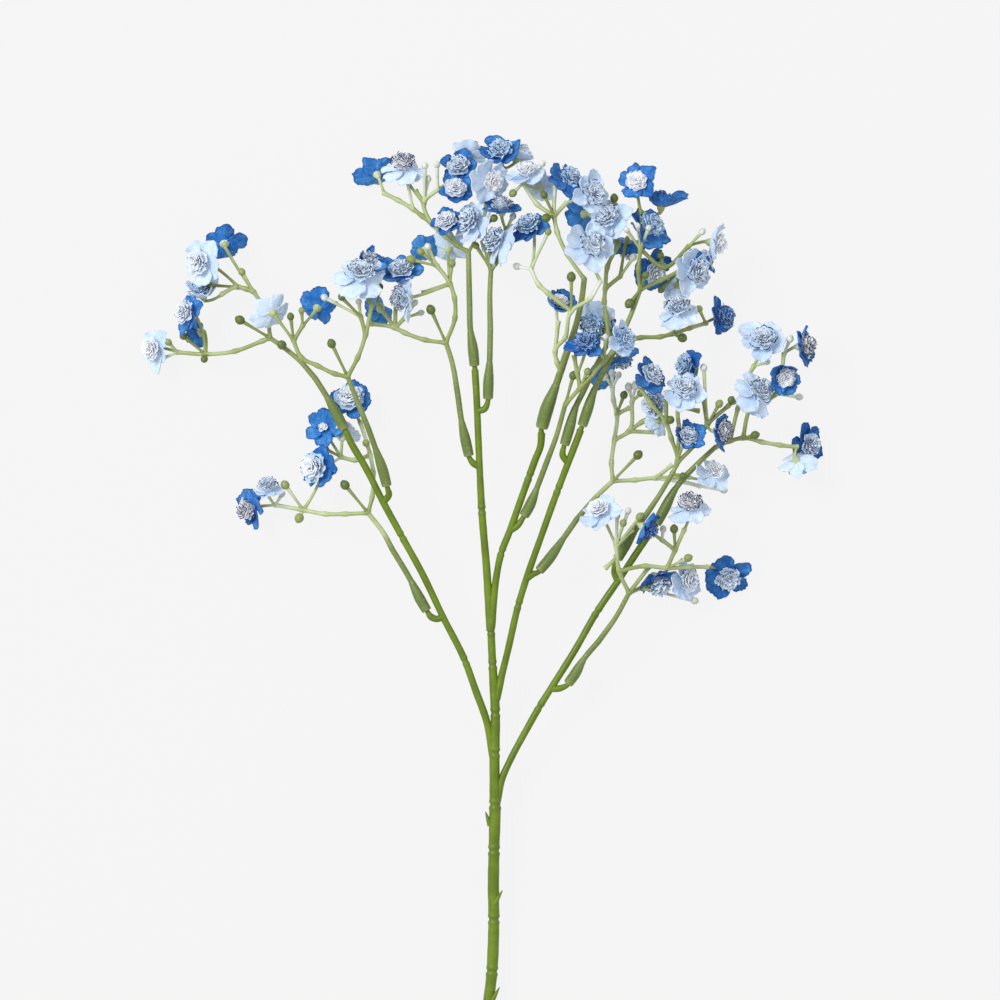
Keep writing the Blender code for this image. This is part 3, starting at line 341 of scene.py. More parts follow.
            ("pale", "c", (678, 311, 33), 9.4, 95, 38, "lined", "plate"),
            ("royal", "a", (621, 357, 29), 6.6, 300, -14, "navy", "open"),
            ("royal", "e", (648, 229, 36), 9.8, 45, 40, "sky", "wide"),
            ("royal", "f", (636, 183, 38), 8.6, 90, 70, "clean", "flat"),
            ("royal", "f", (661, 205, 27), 9.4, 85, 2, "royal", "cup"),
            ("pale", "g", (693, 271, 32), 9.4, 350, 46, "lined", "wide"),
            ("royal", "g", (701, 263, 20), 6.6, 60, -25, "navy", "open"),
            ("pale", "g", (677, 288, 22), 7.6, 260, -45, "navy", "open"),
            ("royal", "h", (652, 270, 28), 8.8, 320, 48, "white", "wide"),
            ("pale", "i", (713, 243, 23), 9.6, 350, 4, "clean", "open"),
        ),
    ),
    "spray_right": dict(
        tones=(0.56, 0.58, 0.3), peg=((527.5, 578, 22), (533, 574, 22)),
        sleeve=((539, 571, 21.6), (547.5, 561, 21), (563, 539, 19.5)),
        stem=((577, 519, 18.2), (599, 494, 16.6), (613, 481, 16)),
        forks=dict(
            a=(613, 481, 16), b=(614.5, 440, 15), c=(617, 414, 15), d=(612.5, 388, 15), e=(629, 431, 15),
            f=(632, 402, 16), g=(656, 478, 12.5), h=(689, 477, 11),
        ),
        twigs=(
            ("a", (611.5, 463, 15.5), "b", "c", (613.5, 400, 15), "d"), ("b", "e", "f"),
            ("e", (642, 422, 14.4), (652, 416, 14)), ("e", (664, 433, 13)), ("c", (629, 408, 14.6)),
            ("a", (635, 480, 14), "g", (680, 481, 11), (700, 486, 9.5)), ("g", (672, 465, 12)), ("g", "h"),
        ),
        buds=(
            ("a", (638, 455, 18), 1.9, 0), ("d", (612, 373, 16), 1.4, 1), ("d", (618.5, 375, 18), 1.4, 1),
            ("c", (624, 395, 17), 1.6, 0), ("g", (724, 490, 8.5), 1.5, 1), ("f", (629, 387, 18), 1.7, 1),
            ("f", (636, 385, 20), 1.8, 1), ("f", (641, 393, 18), 1.6, 0.5),
        ),
        blooms=(
            ("royal", "d", (603, 376, 13), 7.0, 150, -60, "sky", "open"),
            ("pale", "h", (713, 474, 18), 7.8, 58, 44, "clean", "wide"),
        ),
    ),
    "spray_wide_right": dict(
        tones=(0.3, 0.48, 0.25), peg=((653.5, 529, 17),),
        sleeve=((656.5, 524, 17), (664, 510, 17.3), (676, 488, 18)),
        stem=((688, 473.5, 18.6), (702, 459.5, 19.2), (715, 447.5, 19.6)),
        forks=dict(
            a=(730, 441, 19.9), b=(743, 438, 20), c=(797, 447, 12.5), d=(751, 408, 22), e=(754, 366, 17),
            g=(776, 394, 21), h=(784, 354, 18.5), stem=(715, 447.5, 19.6),
        ),
        twigs=(
            ("stem", "a", "b", (762, 442, 18), (780, 445, 15.5), "c"), ("b", "d", "g", "h"),
            ("a", (738, 408, 19), (748, 377, 17.4), "e"),
        ),
        buds=(
            ("b", (755, 435, 22), 1.7, 0), ("e", (767, 362, 17), 1.3, 1), ("g", (799, 397, 21), 1.5, 1),
            ("h", (790, 339, 20), 1.5, 1),
        ),
        blooms=(
            ("royal", "c", (807, 444, None), 8.6, 350, 42, "lined", "wide"),
            ("pale", "c", (797, 462, 12), 7.6, 290, -42, "sky", "open"),
            ("pale", "d", (757, 393, 27), 10.0, 35, 46, "navy", "plate"),
            ("pale", "e", (763, 341, 22), 10.0, 95, 60, "lined", "wide"),
            ("royal", "g", (785, 376, 32), 8.2, 300, 60, "clean", "cup"),
            ("royal", "h", (802, 346, 17), 9.0, 8, 18, "ink", "open"),
        ),
    ),
    "spray_mid_right": dict(
        tones=(0.29, 0.4, 0.25), peg=((618, 582, 15.5), (614.5, 572, 16)),
        sleeve=((617.5, 559, 16.8), (624, 548, 17.3), (635, 531, 18.2)),
        stem=((648, 512, 19.5), (660, 494, 21), (672, 474, 22.5)),
        forks=dict(
            a=(672, 474, 22.5), b=(677, 463, 23.2), c=(666, 423, 26), d=(641, 389, 29), e=(666, 393, 30),
            f=(679, 409, 27), g=(707, 425, 25.5), h=(728, 406, 24.5),
        ),
        twigs=(
            ("a", "b", (671, 438, 25), "c", (650, 403, 28), "d"), ("c", "e"),
            ("b", (679, 430, 25.6), "f", (698, 411, 25.4)), ("b", (696, 443, 24), "g", "h"),
            ("g", (703, 398, 27)),
        ),
        buds=(
            ("c", (670, 420, 29), 1.7, 0), ("g", (703.5, 368, 28.5), 1.5, 1), ("h", (731, 400, 26), 1.5, 0),
            ("h", (738, 401, 23), 1.3, 1), ("g", (719, 404, 28), 1.6, 0.5), ("a", (683, 476, 25), 1.5, 0),
        ),
        blooms=(
            ("royal", "d", (649, 378, 34), 8.4, 42, 40, "lined", "wide"),
            ("pale", "c", (656, 421, 18), 5.6, 210, -40, "white", "open"),
            ("pale", "e", (656, 403, 22), 6.8, 200, 45, "navy", "open"),
            ("royal", "f", (690, 366, 26), 8.0, 170, 30, "sky", "wide"),
            ("pale", "f", (684, 391, 33), 8.6, 95, 62, "lined", "wide"),
            ("royal", "b", (686, 438, 31), 7.0, 60, 55, "lined", "cup"),
            ("royal", "g", (719, 431, 30), 7.8, 0, 22, "ink", "open"),
        ),
    ),
    "spray_low_right": dict(
        tones=(0.27, 0.5, 0.3), peg=((551, 689, 13.7), (560, 688.5, 13.8)),
        sleeve=((568, 684, 14.2), (574.5, 675, 14.8), (584, 659, 16)),
        stem=((599, 641, 17.5), (616, 617, 19.4), (629, 593, 21)),
        forks=dict(
            a=(629, 593, 21), b=(619, 571, 24), c=(616, 546, 25.5), d=(667, 568, 22), e=(675, 550, 23),
            f=(662, 540, 24), g=(684, 530, 24), h=(707, 567, 12), i=(641, 588, 16),
        ),
        twigs=(
            ("a", "b", "c"), ((616.5, 558, 24.8), (606, 567.5, 22.6)),
            ("b", (645, 566, 23), "d", (690, 567, 17.5), "h"), ("d", "e", "g"), ("e", "f"), ("a", "i"),
            ("c", (632, 530, 27.4)), ("a", (649, 567, 19)),
        ),
        buds=(
            ("c", (617, 516, 29), 1.3, 1), ("c", (623, 523, 31), 1.5, 0.5), ("c", (628, 511, 29), 1.3, 1),
            ("c", (640, 517, 30.5), 1.8, 0.5), ("e", (674, 529, 25), 1.7, 0), ("f", (663, 529, 26), 1.4, 1),
            ("d", (688, 558, 22.5), 1.7, 0.5), ("i", (695, 601, 8), 1.5, 1),
        ),
        blooms=(
            ("pale", "c", (600, 512, 28), 8.8, 120, 40, "clean", "wide"),
            ("royal", "f", (645, 528, 33), 7.2, 330, 8, "royal", "open"),
            ("pale", "g", (690, 507, 27), 9.2, 92, 34, "ink", "plate"),
            ("royal", "h", (728, 576, None), 9.4, 285, 58, "lined", "wide"),
            ("royal", "i", (658, 580, 15), 9.4, 300, 14, "lined", "wide"),
            ("pale", "i", (685, 580, 13), 8.2, 0, 40, "white", "wide"),
        ),
    ),
}

# Radii and lengths of the plastic. The stems were measured in the picture again after the solids were made,
# so some radii are up to 0.35 mm over the solids' own.
PEG_FOOT, PEG_RADIUS, PEG_DEPTH = 1.35 * MM, 0.92 * MM, 4.6 * MM
STEM_RADIUS, TWIG_RADIUS, PEDICEL_RADIUS = 1.07 * MM, 0.82 * MM, 0.68 * MM
SLEEVE_RADIUS, CROWN_SLEEVE_RADIUS, CROWN_STEM_RADIUS = 2.1 * MM, 2.7 * MM, 1.3 * MM
CALYX_LENGTH, END_OVERLAP = 3.4 * MM, 0.5 * MM
BORE_RADIUS, BORE_DEPTH = 1.0 * MM, 6.0 * MM
MOUTH_RADIUS, MOUTH_DEPTH = 1.3 * MM, 1.2 * MM
BUD_COLLAR, CALYX_COLLAR = 0.8 * MM, 0.66 * MM
SPUR_RADII = (1.1 * MM, 0.72 * MM, 0.16 * MM)
PLASTIC_IOR = 1.51
# How far a joint's lips are from its groove, and how wide a lip and the groove are.
LIP_GAP, LIP_WIDTH, GROOVE_WIDTH = 1.35 * MM, 0.6 * MM, 0.55 * MM
# How far along a twig its knuckles swell.
KNUCKLE_WIDTH = 1.3 * MM
# How far apart the rings of a tube are: on branches, pegs, stems, twigs.
BRANCH_STEP, PEG_STEP, STEM_STEP, TWIG_STEP = 0.5 * MM, 0.8 * MM, 1.5 * MM, 0.9 * MM
# A tube has 4 sides, and 2 more for each step of its resolution. None is thinner than this radius.
TRUNK_RESOLUTION, BRANCH_RESOLUTION, SPRAY_RESOLUTION = 6, 5, 3
LEAST_RADIUS = 0.1 * MM
# Corners this close together are one, and edges that bend more than this stay sharp.
WELD = 0.01 * MM
PLASTIC_CREASE, CLOTH_CREASE = math.radians(50), math.radians(65)
BUD_SEGMENTS, BUD_RINGS = 14, 10

# Along a sleeve, from its mouth to its end: the share of its length passed, its radius as a share of the
# widest, and how faded its green is.
SLEEVE_PROFILE = (
    (0.0, 0.86, 0.34), (0.03, 0.95, 0.3), (0.08, 0.97, 0.12), (0.2, 1.0, 0.02), (0.42, 1.02, 0.0),
    (0.62, 0.93, 0.04), (0.8, 0.76, 0.1), (1.0, 0.6, 0.18),
)
# Along a calyx: the share of its length passed and its radius in mm.
CALYX_PROFILE = ((0.0, 0.68), (0.18, 0.86), (0.36, 1.22), (0.6, 1.5), (0.84, 1.62), (1.0, 1.84))
# The stalks of the dark buds are this much darker than the twigs.
DARK_STALK = -0.16

# How far a rosette stands out over the middle of its petals in mm, and how many degrees each of the five
# petals curls up, for each pressing of the petals. Their order counts, because one draw follows another, so
# "deep" and "side" stay although no bloom has them now.
PRESSINGS = {
    "open": (1.4, (26, 38, 20, 34, 42)), "wide": (2.4, (40, 20, 12, 32, 24)),
    "cup": (1.0, (84, 62, 54, 70, 92)), "deep": (3.4, (86, 68, 62, 74, 92)),
    "side": (2.0, (30, 92, 52, 20, 66)), "flat": (0.3, (14, 6, 24, 40, 10)),
    "droop": (1.0, (-20, 14, -40, 8, -28)), "plate": (2.3, (-14, -2, -20, -6, -12)),
}
# How many sheets of petals are modelled for each pressing.
SHEETS_EACH = 3
# Half of the angle that a petal spans, so that it laps over its neighbours, and where it starts and how far
# its bent up rim has to reach, as shares of the bloom's radius.
LOBE_SPREAD, FIFTH = math.radians(46), math.tau / 5
PETAL_ROOT, PETAL_REACH, MOST_STRETCH = 0.1, 1.14, 1.4
ACROSS_STEPS, REACH_STEPS, FRILL_RINGS = 20, 6, 4

# The rosette is modelled at this radius, and scaled to its bloom. A bloom of the plain radius, in mm, has a
# rosette of the radius that its look gives, and the rosette grows by this much with the bloom.
ROSETTE_RADIUS = 4.6 * MM
PLAIN_RADIUS, ROSETTE_GROWTH = 8.4, 0.3
# The frills of a rosette and of the tuft that a bare bloom has instead: the radius and height of the rim,
# and then of the root, as shares of the rosette's radius.
FRILLS = (
    (1.0, 0.3, 0.2, -0.55), (0.86, 0.5, 0.33, -0.1), (0.7, 0.68, 0.3, 0.14), (0.53, 0.82, 0.22, 0.28),
    (0.36, 0.92, 0.13, 0.38), (0.19, 0.96, 0.04, 0.48),
)
TUFT_FRILLS = ((0.42, 0.3, 0.1, 0.1), (0.26, 0.42, 0.05, 0.14))
# How much navy the rims of a rosette have soaked up, how light blue it is in the middle and on the outermost
# frills, how royal blue it is, how far its teeth stand out, and its radius in mm.
LOOKS = {
    "clean": (-0.5, 0.08, 0.12, 0.0, 1.0, 4.3), "white": (-0.34, 0.28, 0.4, 0.0, 1.0, 4.8),
    "lined": (-0.03, 0.48, 0.7, 0.0, 1.0, 4.9), "navy": (0.08, 0.42, 0.65, 0.0, 2.6, 4.8),
    "ink": (0.42, 0.02, 0.1, 0.0, 2.6, 4.8), "halo": (-0.34, 0.2, 0.9, 0.0, 1.0, 5.9),
    "sky": (-0.04, 0.85, 1.0, 0.0, 2.6, 4.9), "teal": (0.1, 0.8, 1.0, 0.6, 2.6, 4.9),
    "royal": (0.15, 0.0, 0.0, 0.9, 2.6, 4.5),
}
# How far the teeth stand out on each rosette that is modelled.
ROSE_SPIKES = (1.0, 1.0, 1.0, 2.6, 2.6)
# Where each bloom's middle is, once the blooms are made.
BLOOM_PLACES = {}

PHOTO_CENTRE_PX, PHOTO_WIDTH_PX = (500.0, 500.0), 1000
CAMERA_HEIGHT, MIDDLE_HEIGHT, SENSOR_WIDTH_MM = 6.0, 0.02, 36.0
FARTHEST, TABLE_SIZE, AMBIENT = 100.0, 12.0, 0.63
# The table's own glow, and how much of the light that falls on it it gives back.
TABLE_GLOW, TABLE_MATT = 0.965, 0.03
# Place, diameter in metres and power in watts.
SOFTBOXES = (((-1.3, 1.0, 2.2), 1.4, 62.0), ((1.6, 0.4, 2.0), 1.6, 6.0))


def linear(code):
    """The linear colour of an sRGB hex code such as #6F9433."""
    shares = [int(code[place:place + 2], 16) / 255 for place in (1, 3, 5)]
    return tuple(share / 12.92 if share <= 0.04045 else ((share + 0.055) / 1.055) ** 2.4 for share in shares)


def colour(name, description, code):
    return bpy.props.FloatVectorProperty(name=name, description=description, default=linear(code), size=3,
                                         min=0.0, max=1.0, subtype="COLOR")


def length(name, description, millimetres):
    return bpy.props.FloatProperty(name=name, description=description, default=millimetres * MM, min=0.0,
                                   unit="LENGTH", subtype="DISTANCE")


def fraction(name, description, default, least, most):
    return bpy.props.FloatProperty(name=name, description=description, default=default, min=least, max=most,
                                   subtype="FACTOR")


class StemSizes(bpy.types.PropertyGroup):
    """Sizes that change the look of the stem and leave its layout as it is."""

    petal_thickness: length("Petal thickness", "Thickness of the pressed petal cloth", 0.34)
    frill_thickness: length("Frill thickness", "Thickness of the thin frilled cloth", 0.2)
    tooth_depth: length("Frill tooth", "How far the cut teeth of a frill stand out", 0.17)
    ruffle: length("Ruffle", "How far the rim of a frill waves up and down", 0.46)
    joint_lip: fraction("Joint lip", "Radius of a joint's lip, as a share of the trunk's", 1.09, 1.0, 1.2)
    joint_groove: fraction("Joint groove", "Radius in a groove, as a share of the trunk's", 0.86, 0.7, 1.0)


class StemColours(bpy.types.PropertyGroup):
    """The colours of the plastic, the cloth and the table."""

    trunk: colour("Trunk", "Moulded trunk and branches", "#617817")
    sleeve: colour("Sleeve", "Thick sleeves of the sprays", "#647739")
    stem: colour("Stem", "Stems of the sprays", "#7A864C")
    twig: colour("Twig", "Twigs of the sprays", "#8C985B")
    cream: colour("Pale twig", "Faded ends of the twigs", "#D2D7CE")
    bud: colour("Bud", "Dark ball buds", "#5E6E35")
    royal: colour("Royal petals", "Deep blue petal cloth", "#166ABA")
    pale: colour("Pale petals", "Light blue petal cloth", "#C2D5EC")
    frill: colour("Frill", "White frilled cloth", "#FAFBFE")
    sky: colour("Tinted frill", "Light blue frilled cloth", "#86B6E2")
    navy: colour("Navy dye", "Dark dye on the rim of a frill", "#0B1A33")
    table: colour("Table", "Table top", "#F4F4F4")


def place(point):
    """The place of (x pixels, y pixels, height in mm) in the part's frame."""
    return Vector(((point[0] - CENTRE_PX[0]) * PIXEL, (CENTRE_PX[1] - point[1]) * PIXEL, point[2] * MM))


def facing(azimuth, tilt):
    """The unit vector at azimuth degrees from +X in plan and tilt degrees up from the table."""
    azimuth, tilt = math.radians(azimuth), math.radians(tilt)
    return Vector((math.cos(tilt) * math.cos(azimuth), math.cos(tilt) * math.sin(azimuth), math.sin(tilt)))


def bump_at(gap, width):
    """A smooth bump that is 1 at no gap and dies away over this width."""
    return math.exp(-((gap / width) ** 2))


def select_only(*pieces):
    bpy.ops.object.select_all(action="DESELECT")
    for piece in pieces:
        piece.select_set(True)
    bpy.context.view_layer.objects.active = pieces[0]


def joined(name, pieces):
    """One object made of these."""
    select_only(*pieces)
    bpy.ops.object.join()
    piece = bpy.context.active_object
    piece.name = piece.data.name = name
    return piece


def copy_of(piece):
    made = piece.copy()
    made.data = piece.data.copy()
    bpy.context.scene.collection.objects.link(made)
    return made


def wear(piece, finish):
    """Gives a whole piece its one finish."""
    piece.data.materials.clear()
    piece.data.materials.append(finish)


def fill_attribute(mesh, name, values):
    """Writes one number for each corner of the mesh, or the same number for all of them."""
    layer = mesh.attributes.get(name) or mesh.attributes.new(name, "FLOAT", "POINT")
    if isinstance(values, (int, float)):
        values = [values] * len(mesh.vertices)
    layer.data.foreach_set("value", values)


def knot(where, radius, fade=0.0):
    """One knot of a run: its place, the tube's radius there, and how faded the plastic is."""
    return (*where, radius, fade)


def smooth_run(knots, step):
    """Finer knots, about a step apart, along a smooth curve through these."""
    gaps = [max(math.dist(here[:3], after[:3]), WELD) for here, after in zip(knots, knots[1:])]
    rates = [[(b - a) / gap for a, b in zip(here, after)] for here, after, gap in zip(knots, knots[1:], gaps)]
    slopes = [rates[0]]
    for before, after, gap, next_gap in zip(rates, rates[1:], gaps, gaps[1:]):
        slopes.append([(a * next_gap + b * gap) / (gap + next_gap) for a, b in zip(before, after)])
    slopes.append(rates[-1])
    fine = []
    for start, end, leave, arrive, gap in zip(knots, knots[1:], slopes, slopes[1:], gaps):
        count = max(1, math.ceil(gap / step))
        for index in range(count):
            t = index / count
            parts = (
                2 * t**3 - 3 * t**2 + 1, (t**3 - 2 * t**2 + t) * gap, 3 * t**2 - 2 * t**3,
                (t**3 - t**2) * gap,
            )
            fine.append(tuple(sum(part * value for part, value in zip(parts, values))
                              for values in zip(start, leave, end, arrive)))
    return fine + [tuple(knots[-1])]


def make_tubes(name, runs, resolution, finish):
    """A mesh of round tubes with closed ends."""
    curve = bpy.data.curves.new(name, "CURVE")
    curve.dimensions = "3D"
    curve.bevel_depth = MM
    curve.bevel_resolution = resolution
    curve.use_fill_caps = True
    for run in runs:
        spline = curve.splines.new("POLY")
        spline.points.add(len(run) - 1)
        for point, (x, y, z, radius, fade) in zip(spline.points, run):
            point.co = (x, y, z, 1.0)
            point.radius = max(radius, LEAST_RADIUS) / MM
    drawn = bpy.data.objects.new(name, curve)
    bpy.context.scene.collection.objects.link(drawn)
    select_only(drawn)
    bpy.ops.object.convert(target="MESH")
    piece = bpy.context.active_object
    bpy.ops.object.mode_set(mode="EDIT")
    bpy.ops.mesh.select_all(action="SELECT")
    bpy.ops.mesh.remove_doubles(threshold=WELD)
    bpy.ops.mesh.normals_make_consistent(inside=False)
    bpy.ops.object.mode_set(mode="OBJECT")
    bpy.ops.object.shade_smooth_by_angle(angle=PLASTIC_CREASE)
    wear(piece, finish)
    write_fade(piece.data, [point for run in runs for point in run])
    return piece


def write_fade(mesh, knots):
    """Gives each corner of the tubes the fade of the nearest knot. On the trunk and branches the fade marks
    the joint grooves, where shade is painted.
    """
    near = KDTree(len(knots))
    for index, point in enumerate(knots):
        near.insert(point[:3], index)
    near.balance()
    fill_attribute(mesh, "fade", [knots[near.find(corner.co)[1]][4] for corner in mesh.vertices])


def sink_end(piece, where, outwards, radius, depth):
    """Sinks a round hole of this radius into the flat end of the tube that ends at a place."""
    mesh = piece.data
    for kind in (mesh.vertices, mesh.edges, mesh.polygons):
        kind.foreach_set("select", [False] * len(kind))
    end = [face for face in mesh.polygons
           if face.normal.dot(outwards) > 0.99 and (face.center - where).length < 3 * MM]
    for face in end:
        face.select = True
    rim = max((mesh.vertices[corner].co - where).length for face in end for corner in face.vertices)
    select_only(piece)
    bpy.ops.object.mode_set(mode="EDIT")
    bpy.ops.mesh.select_mode(type="FACE")
    bpy.ops.mesh.dissolve_faces()
    bpy.ops.mesh.inset(thickness=rim - radius, depth=0.0)
    bpy.ops.mesh.inset(thickness=0.02 * MM, depth=-depth)
    bpy.ops.object.mode_set(mode="OBJECT")


def branch_run(route, sizes, flare=0.0):
    """A branch with its joints, each a groove between two lips. Its first knots swell by the flare, where it
    leaves the trunk, and it is a little uneven all along."""
    plain = smooth_run([knot(place(point), point[3] * MM) for point in route], BRANCH_STEP)
    joints = [place(point) for point in route if len(point) == 5]
    draw = random.Random(len(plain))
    first, second = draw.uniform(0, math.tau), draw.uniform(0, math.tau)
    run = []
    for index, (x, y, z, radius, fade) in enumerate(plain):
        gap = min([(Vector((x, y, z)) - joint).length for joint in joints], default=1.0)
        uneven = 1 + 0.018 * math.sin(index * 0.11 + first) + 0.012 * math.sin(index * 0.37 + second)
        lips = (sizes.joint_lip - 1) * bump_at(gap - LIP_GAP, LIP_WIDTH)
        joint = 1 + lips - (1 - sizes.joint_groove) * bump_at(gap, GROOVE_WIDTH)
        swell = 1 + flare * bump_at(index * 0.5, 9)
        # The last entry is how near a joint's groove the knot is; the trunk's finish paints shade into the
        # groove from it.
        run.append((x, y, z, radius * uneven * swell * joint, bump_at(gap, 1.0 * MM)))
    return run


def peg_run(plan):
    """The arm that curves out of a branch and ends as a peg inside the sleeve."""
    mouth = place(plan["sleeve"][0])
    inwards = (place(plan["sleeve"][1]) - mouth).normalized()
    knots = [knot(place(point), PEG_FOOT) for point in plan["peg"]]
    knots.append(knot(mouth - inwards * 0.8 * MM, 1.12 * PEG_RADIUS))
    knots.append(knot(mouth + inwards * PEG_DEPTH, PEG_RADIUS))
    return smooth_run(knots, PEG_STEP)


def spur_run(root, tip):
    """A short pointed leaf scar."""
    start, end = place(root), place(tip)
    middle = start.lerp(end, 0.55) + Vector((0, 0, 0.25 * MM))
    knots = [knot(*parts) for parts in zip((start, middle, end), SPUR_RADII, (0.0, 0.3, 0.9))]
    return smooth_run(knots, BRANCH_STEP)


def sleeve_run(name, plan):
    """A sleeve and the stem that goes on from it, as one run."""
    crown = name == "spray_crown"
    widest = CROWN_SLEEVE_RADIUS if crown else SLEEVE_RADIUS
    stem = CROWN_STEM_RADIUS if crown else STEM_RADIUS
    centre = smooth_run([knot(place(point), 0.0) for point in plan["sleeve"] + plan["stem"][:1]], BRANCH_STEP)
    reach = math.dist(place(plan["sleeve"][0]), place(plan["sleeve"][-1]))
    run, passed = [], 0.0
    for index, point in enumerate(centre):
        passed += math.dist(point[:3], centre[index - 1][:3]) if index else 0.0
        radius, fade = sleeve_at(passed / reach)
        radius = widest * radius if passed < reach else (stem + widest * radius) / 2
        run.append((*point[:3], radius, fade))
    tone, route = plan["tones"][0], [place(point) for point in plan["stem"]]
    route[-1] += (route[-1] - route[-2]).normalized() * END_OVERLAP
    rest = [knot(point, stem * (1 - 0.05 * index), tone + 0.03 * index) for index, point in enumerate(route)]
    return run + smooth_run([run[-1]] + rest[1:], STEM_STEP)[1:]


def sleeve_at(passed):
    """The sleeve's radius, as a share of the widest, and its fade at a share of its length."""
    for (start, first, fade), (end, second, next_fade) in zip(SLEEVE_PROFILE, SLEEVE_PROFILE[1:]):
        if passed <= end:
            part = (passed - start) / (end - start)
            return first + (second - first) * part, fade + (next_fade - fade) * part
    return SLEEVE_PROFILE[-1][1:]


def twig_run(plan, twig, tone, pale):
    """A twig, thick where it leaves its fork and at every knuckle."""
    route = [place(plan["forks"][point] if isinstance(point, str) else point) for point in twig]
    route[-1] += (route[-1] - route[-2]).normalized() * END_OVERLAP
    knots = [knot(point, TWIG_RADIUS * 1.12, tone + pale * index / len(route))
             for index, point in enumerate(route)]
    run = []
    for x, y, z, radius, fade in smooth_run(knots, TWIG_STEP):
        gap = min((Vector((x, y, z)) - point).length for point in route)
        run.append((x, y, z, radius * (0.9 + 0.34 * bump_at(gap, KNUCKLE_WIDTH)), fade))
    return run


def stalk_run(root, base, head, collar, fade):
    """A pedicel from its fork to the foot of a bud or a calyx, which it enters from behind."""
    ahead = (head - base).normalized()
    middle = root.lerp(base, 0.5) - ahead * 0.12 * (base - root).length
    knots = [
        knot(root, 1.3 * PEDICEL_RADIUS, fade - 0.12),
        knot(root.lerp(middle, 0.35), PEDICEL_RADIUS, fade - 0.06),
        knot(middle.lerp(base, 0.5), 0.94 * PEDICEL_RADIUS, fade),
        knot(base, collar, fade + 0.06),
    ]
    return smooth_run(knots, PEG_STEP)


def calyx_run(base, middle, fade):
    """The small green cup behind the petals."""
    return [knot(base.lerp(middle, part), radius * MM, fade + 0.1 * part) for part, radius in CALYX_PROFILE]


def bloom_turn(azimuth, tilt, roll):
    return facing(azimuth, tilt).to_track_quat("Z", "Y").to_matrix().to_4x4() @ Matrix.Rotation(roll, 4, "Z")


def bloom_rolls(name, plan):
    """How far each bloom is turned round its own axis, drawn as the solids' source draws it."""
    draw = random.Random(name)
    return [draw.uniform(0, FIFTH) for bloom in plan["blooms"]]


def ring_sheet(name, segments, rows):
    """A flat unit disc of rings round a small hole: a circle, extruded inwards ring by ring."""
    bpy.ops.object.select_all(action="DESELECT")
    bpy.ops.mesh.primitive_circle_add(vertices=segments, radius=1.0)
    piece = bpy.context.active_object
    piece.name = name
    bpy.ops.object.mode_set(mode="EDIT")
    bpy.ops.mesh.select_all(action="SELECT")
    for row in range(rows, 1, -1):
        bpy.ops.mesh.extrude_edges_move()
        bpy.ops.transform.resize(value=((row - 1) / row,) * 3, center_override=(0.0, 0.0, 0.0))
    bpy.ops.object.mode_set(mode="OBJECT")
    lay_out_uv(piece.data)
    return piece


def lay_out_uv(mesh):
    """A map whose U goes round the disc and V from its middle to its rim."""
    layer = mesh.uv_layers.active or mesh.uv_layers.new(name="UVMap")
    layer.name = "UVMap"
    for face in mesh.polygons:
        spots = [mesh.vertices[corner].co for corner in face.vertices]
        rounds = [(math.atan2(spot.y, spot.x) / math.tau) % 1.0 for spot in spots]
        over_seam = max(rounds) - min(rounds) > 0.5
        for loop, spot, turn in zip(face.loop_indices, spots, rounds):
            layer.uv[loop].vector = (turn + 1.0 if over_seam and turn < 0.5 else turn, spot.length)


def close_sheet(piece, thickness, finish):
    """Gives a sheet its thickness and finish."""
    select_only(piece)
    solid = piece.modifiers.new("thickness", "SOLIDIFY")
    solid.thickness = thickness
    solid.offset = 0.0
    bpy.ops.object.modifier_apply(modifier=solid.name)
    bpy.ops.object.shade_smooth_by_angle(angle=CLOTH_CREASE)
    wear(piece, finish)
    return piece


def petal_sheet(name, curls, draw):
    """Five rounded petals, each lapping over the next, pressed into a cup, for a bloom of radius 1 mm."""
    petals = []
    for petal, curl in enumerate(curls):
        bpy.ops.object.select_all(action="DESELECT")
        bpy.ops.mesh.primitive_grid_add(x_subdivisions=ACROSS_STEPS, y_subdivisions=REACH_STEPS, size=2.0)
        piece = bpy.context.active_object
        layer = piece.data.uv_layers.active
        for face in piece.data.polygons:
            for loop, corner in zip(face.loop_indices, face.vertices):
                spot = piece.data.vertices[corner].co
                layer.uv[loop].vector = ((petal + 0.6 * spot.x) / 5 + 0.5, (spot.y + 1) / 2)
        meets = {1: curls[(petal + 1) % 5], -1: curls[petal - 1]}
        shape = {
            "size": draw.uniform(0.8, 1.08), "tip": draw.choice((-0.07, 0.0, 0.0, 0.08, 0.16)),
            "notch": draw.uniform(0.14, 0.26), "lean": draw.uniform(-0.12, 0.12),
            "sway": draw.uniform(-0.16, 0.16), "roll": draw.uniform(-0.9, 0.9),
            "wave": draw.uniform(0.03, 0.1), "phases": [draw.uniform(0, math.tau) for wave in range(4)],
            "crease": draw.uniform(-0.025, 0.03),
            "frayed": [draw.uniform(0.955, 1.025) for cut in range(ACROSS_STEPS + 1)],
            "wrinkles": [draw.uniform(-0.012, 0.012) for fold in range(ACROSS_STEPS + 1)],
        }
        for corner in piece.data.vertices:
            reach = PETAL_ROOT + (1 - PETAL_ROOT) * (corner.co.y + 1) / 2
            corner.co = petal_point(petal, corner.co.x, reach, curl, meets, shape)
        petals.append(piece)
    piece = joined(name, petals)
    extent = max(math.hypot(corner.co.x, corner.co.y) for corner in piece.data.vertices)
    piece.data.transform(Matrix.Scale(min(MOST_STRETCH, PETAL_REACH / extent) * MM, 4))
    return piece


def curled(reach, bent, roll):
    """How far out and up a strip has come after this length, if it is bent so much over its whole length."""
    steps = [reach * (step + 0.5) / 8 for step in range(8)]
    turns = [bent * step * (1 + roll * (step**2 - 0.5)) for step in steps]
    return sum(map(math.cos, turns)) * reach / 8, sum(map(math.sin, turns)) * reach / 8


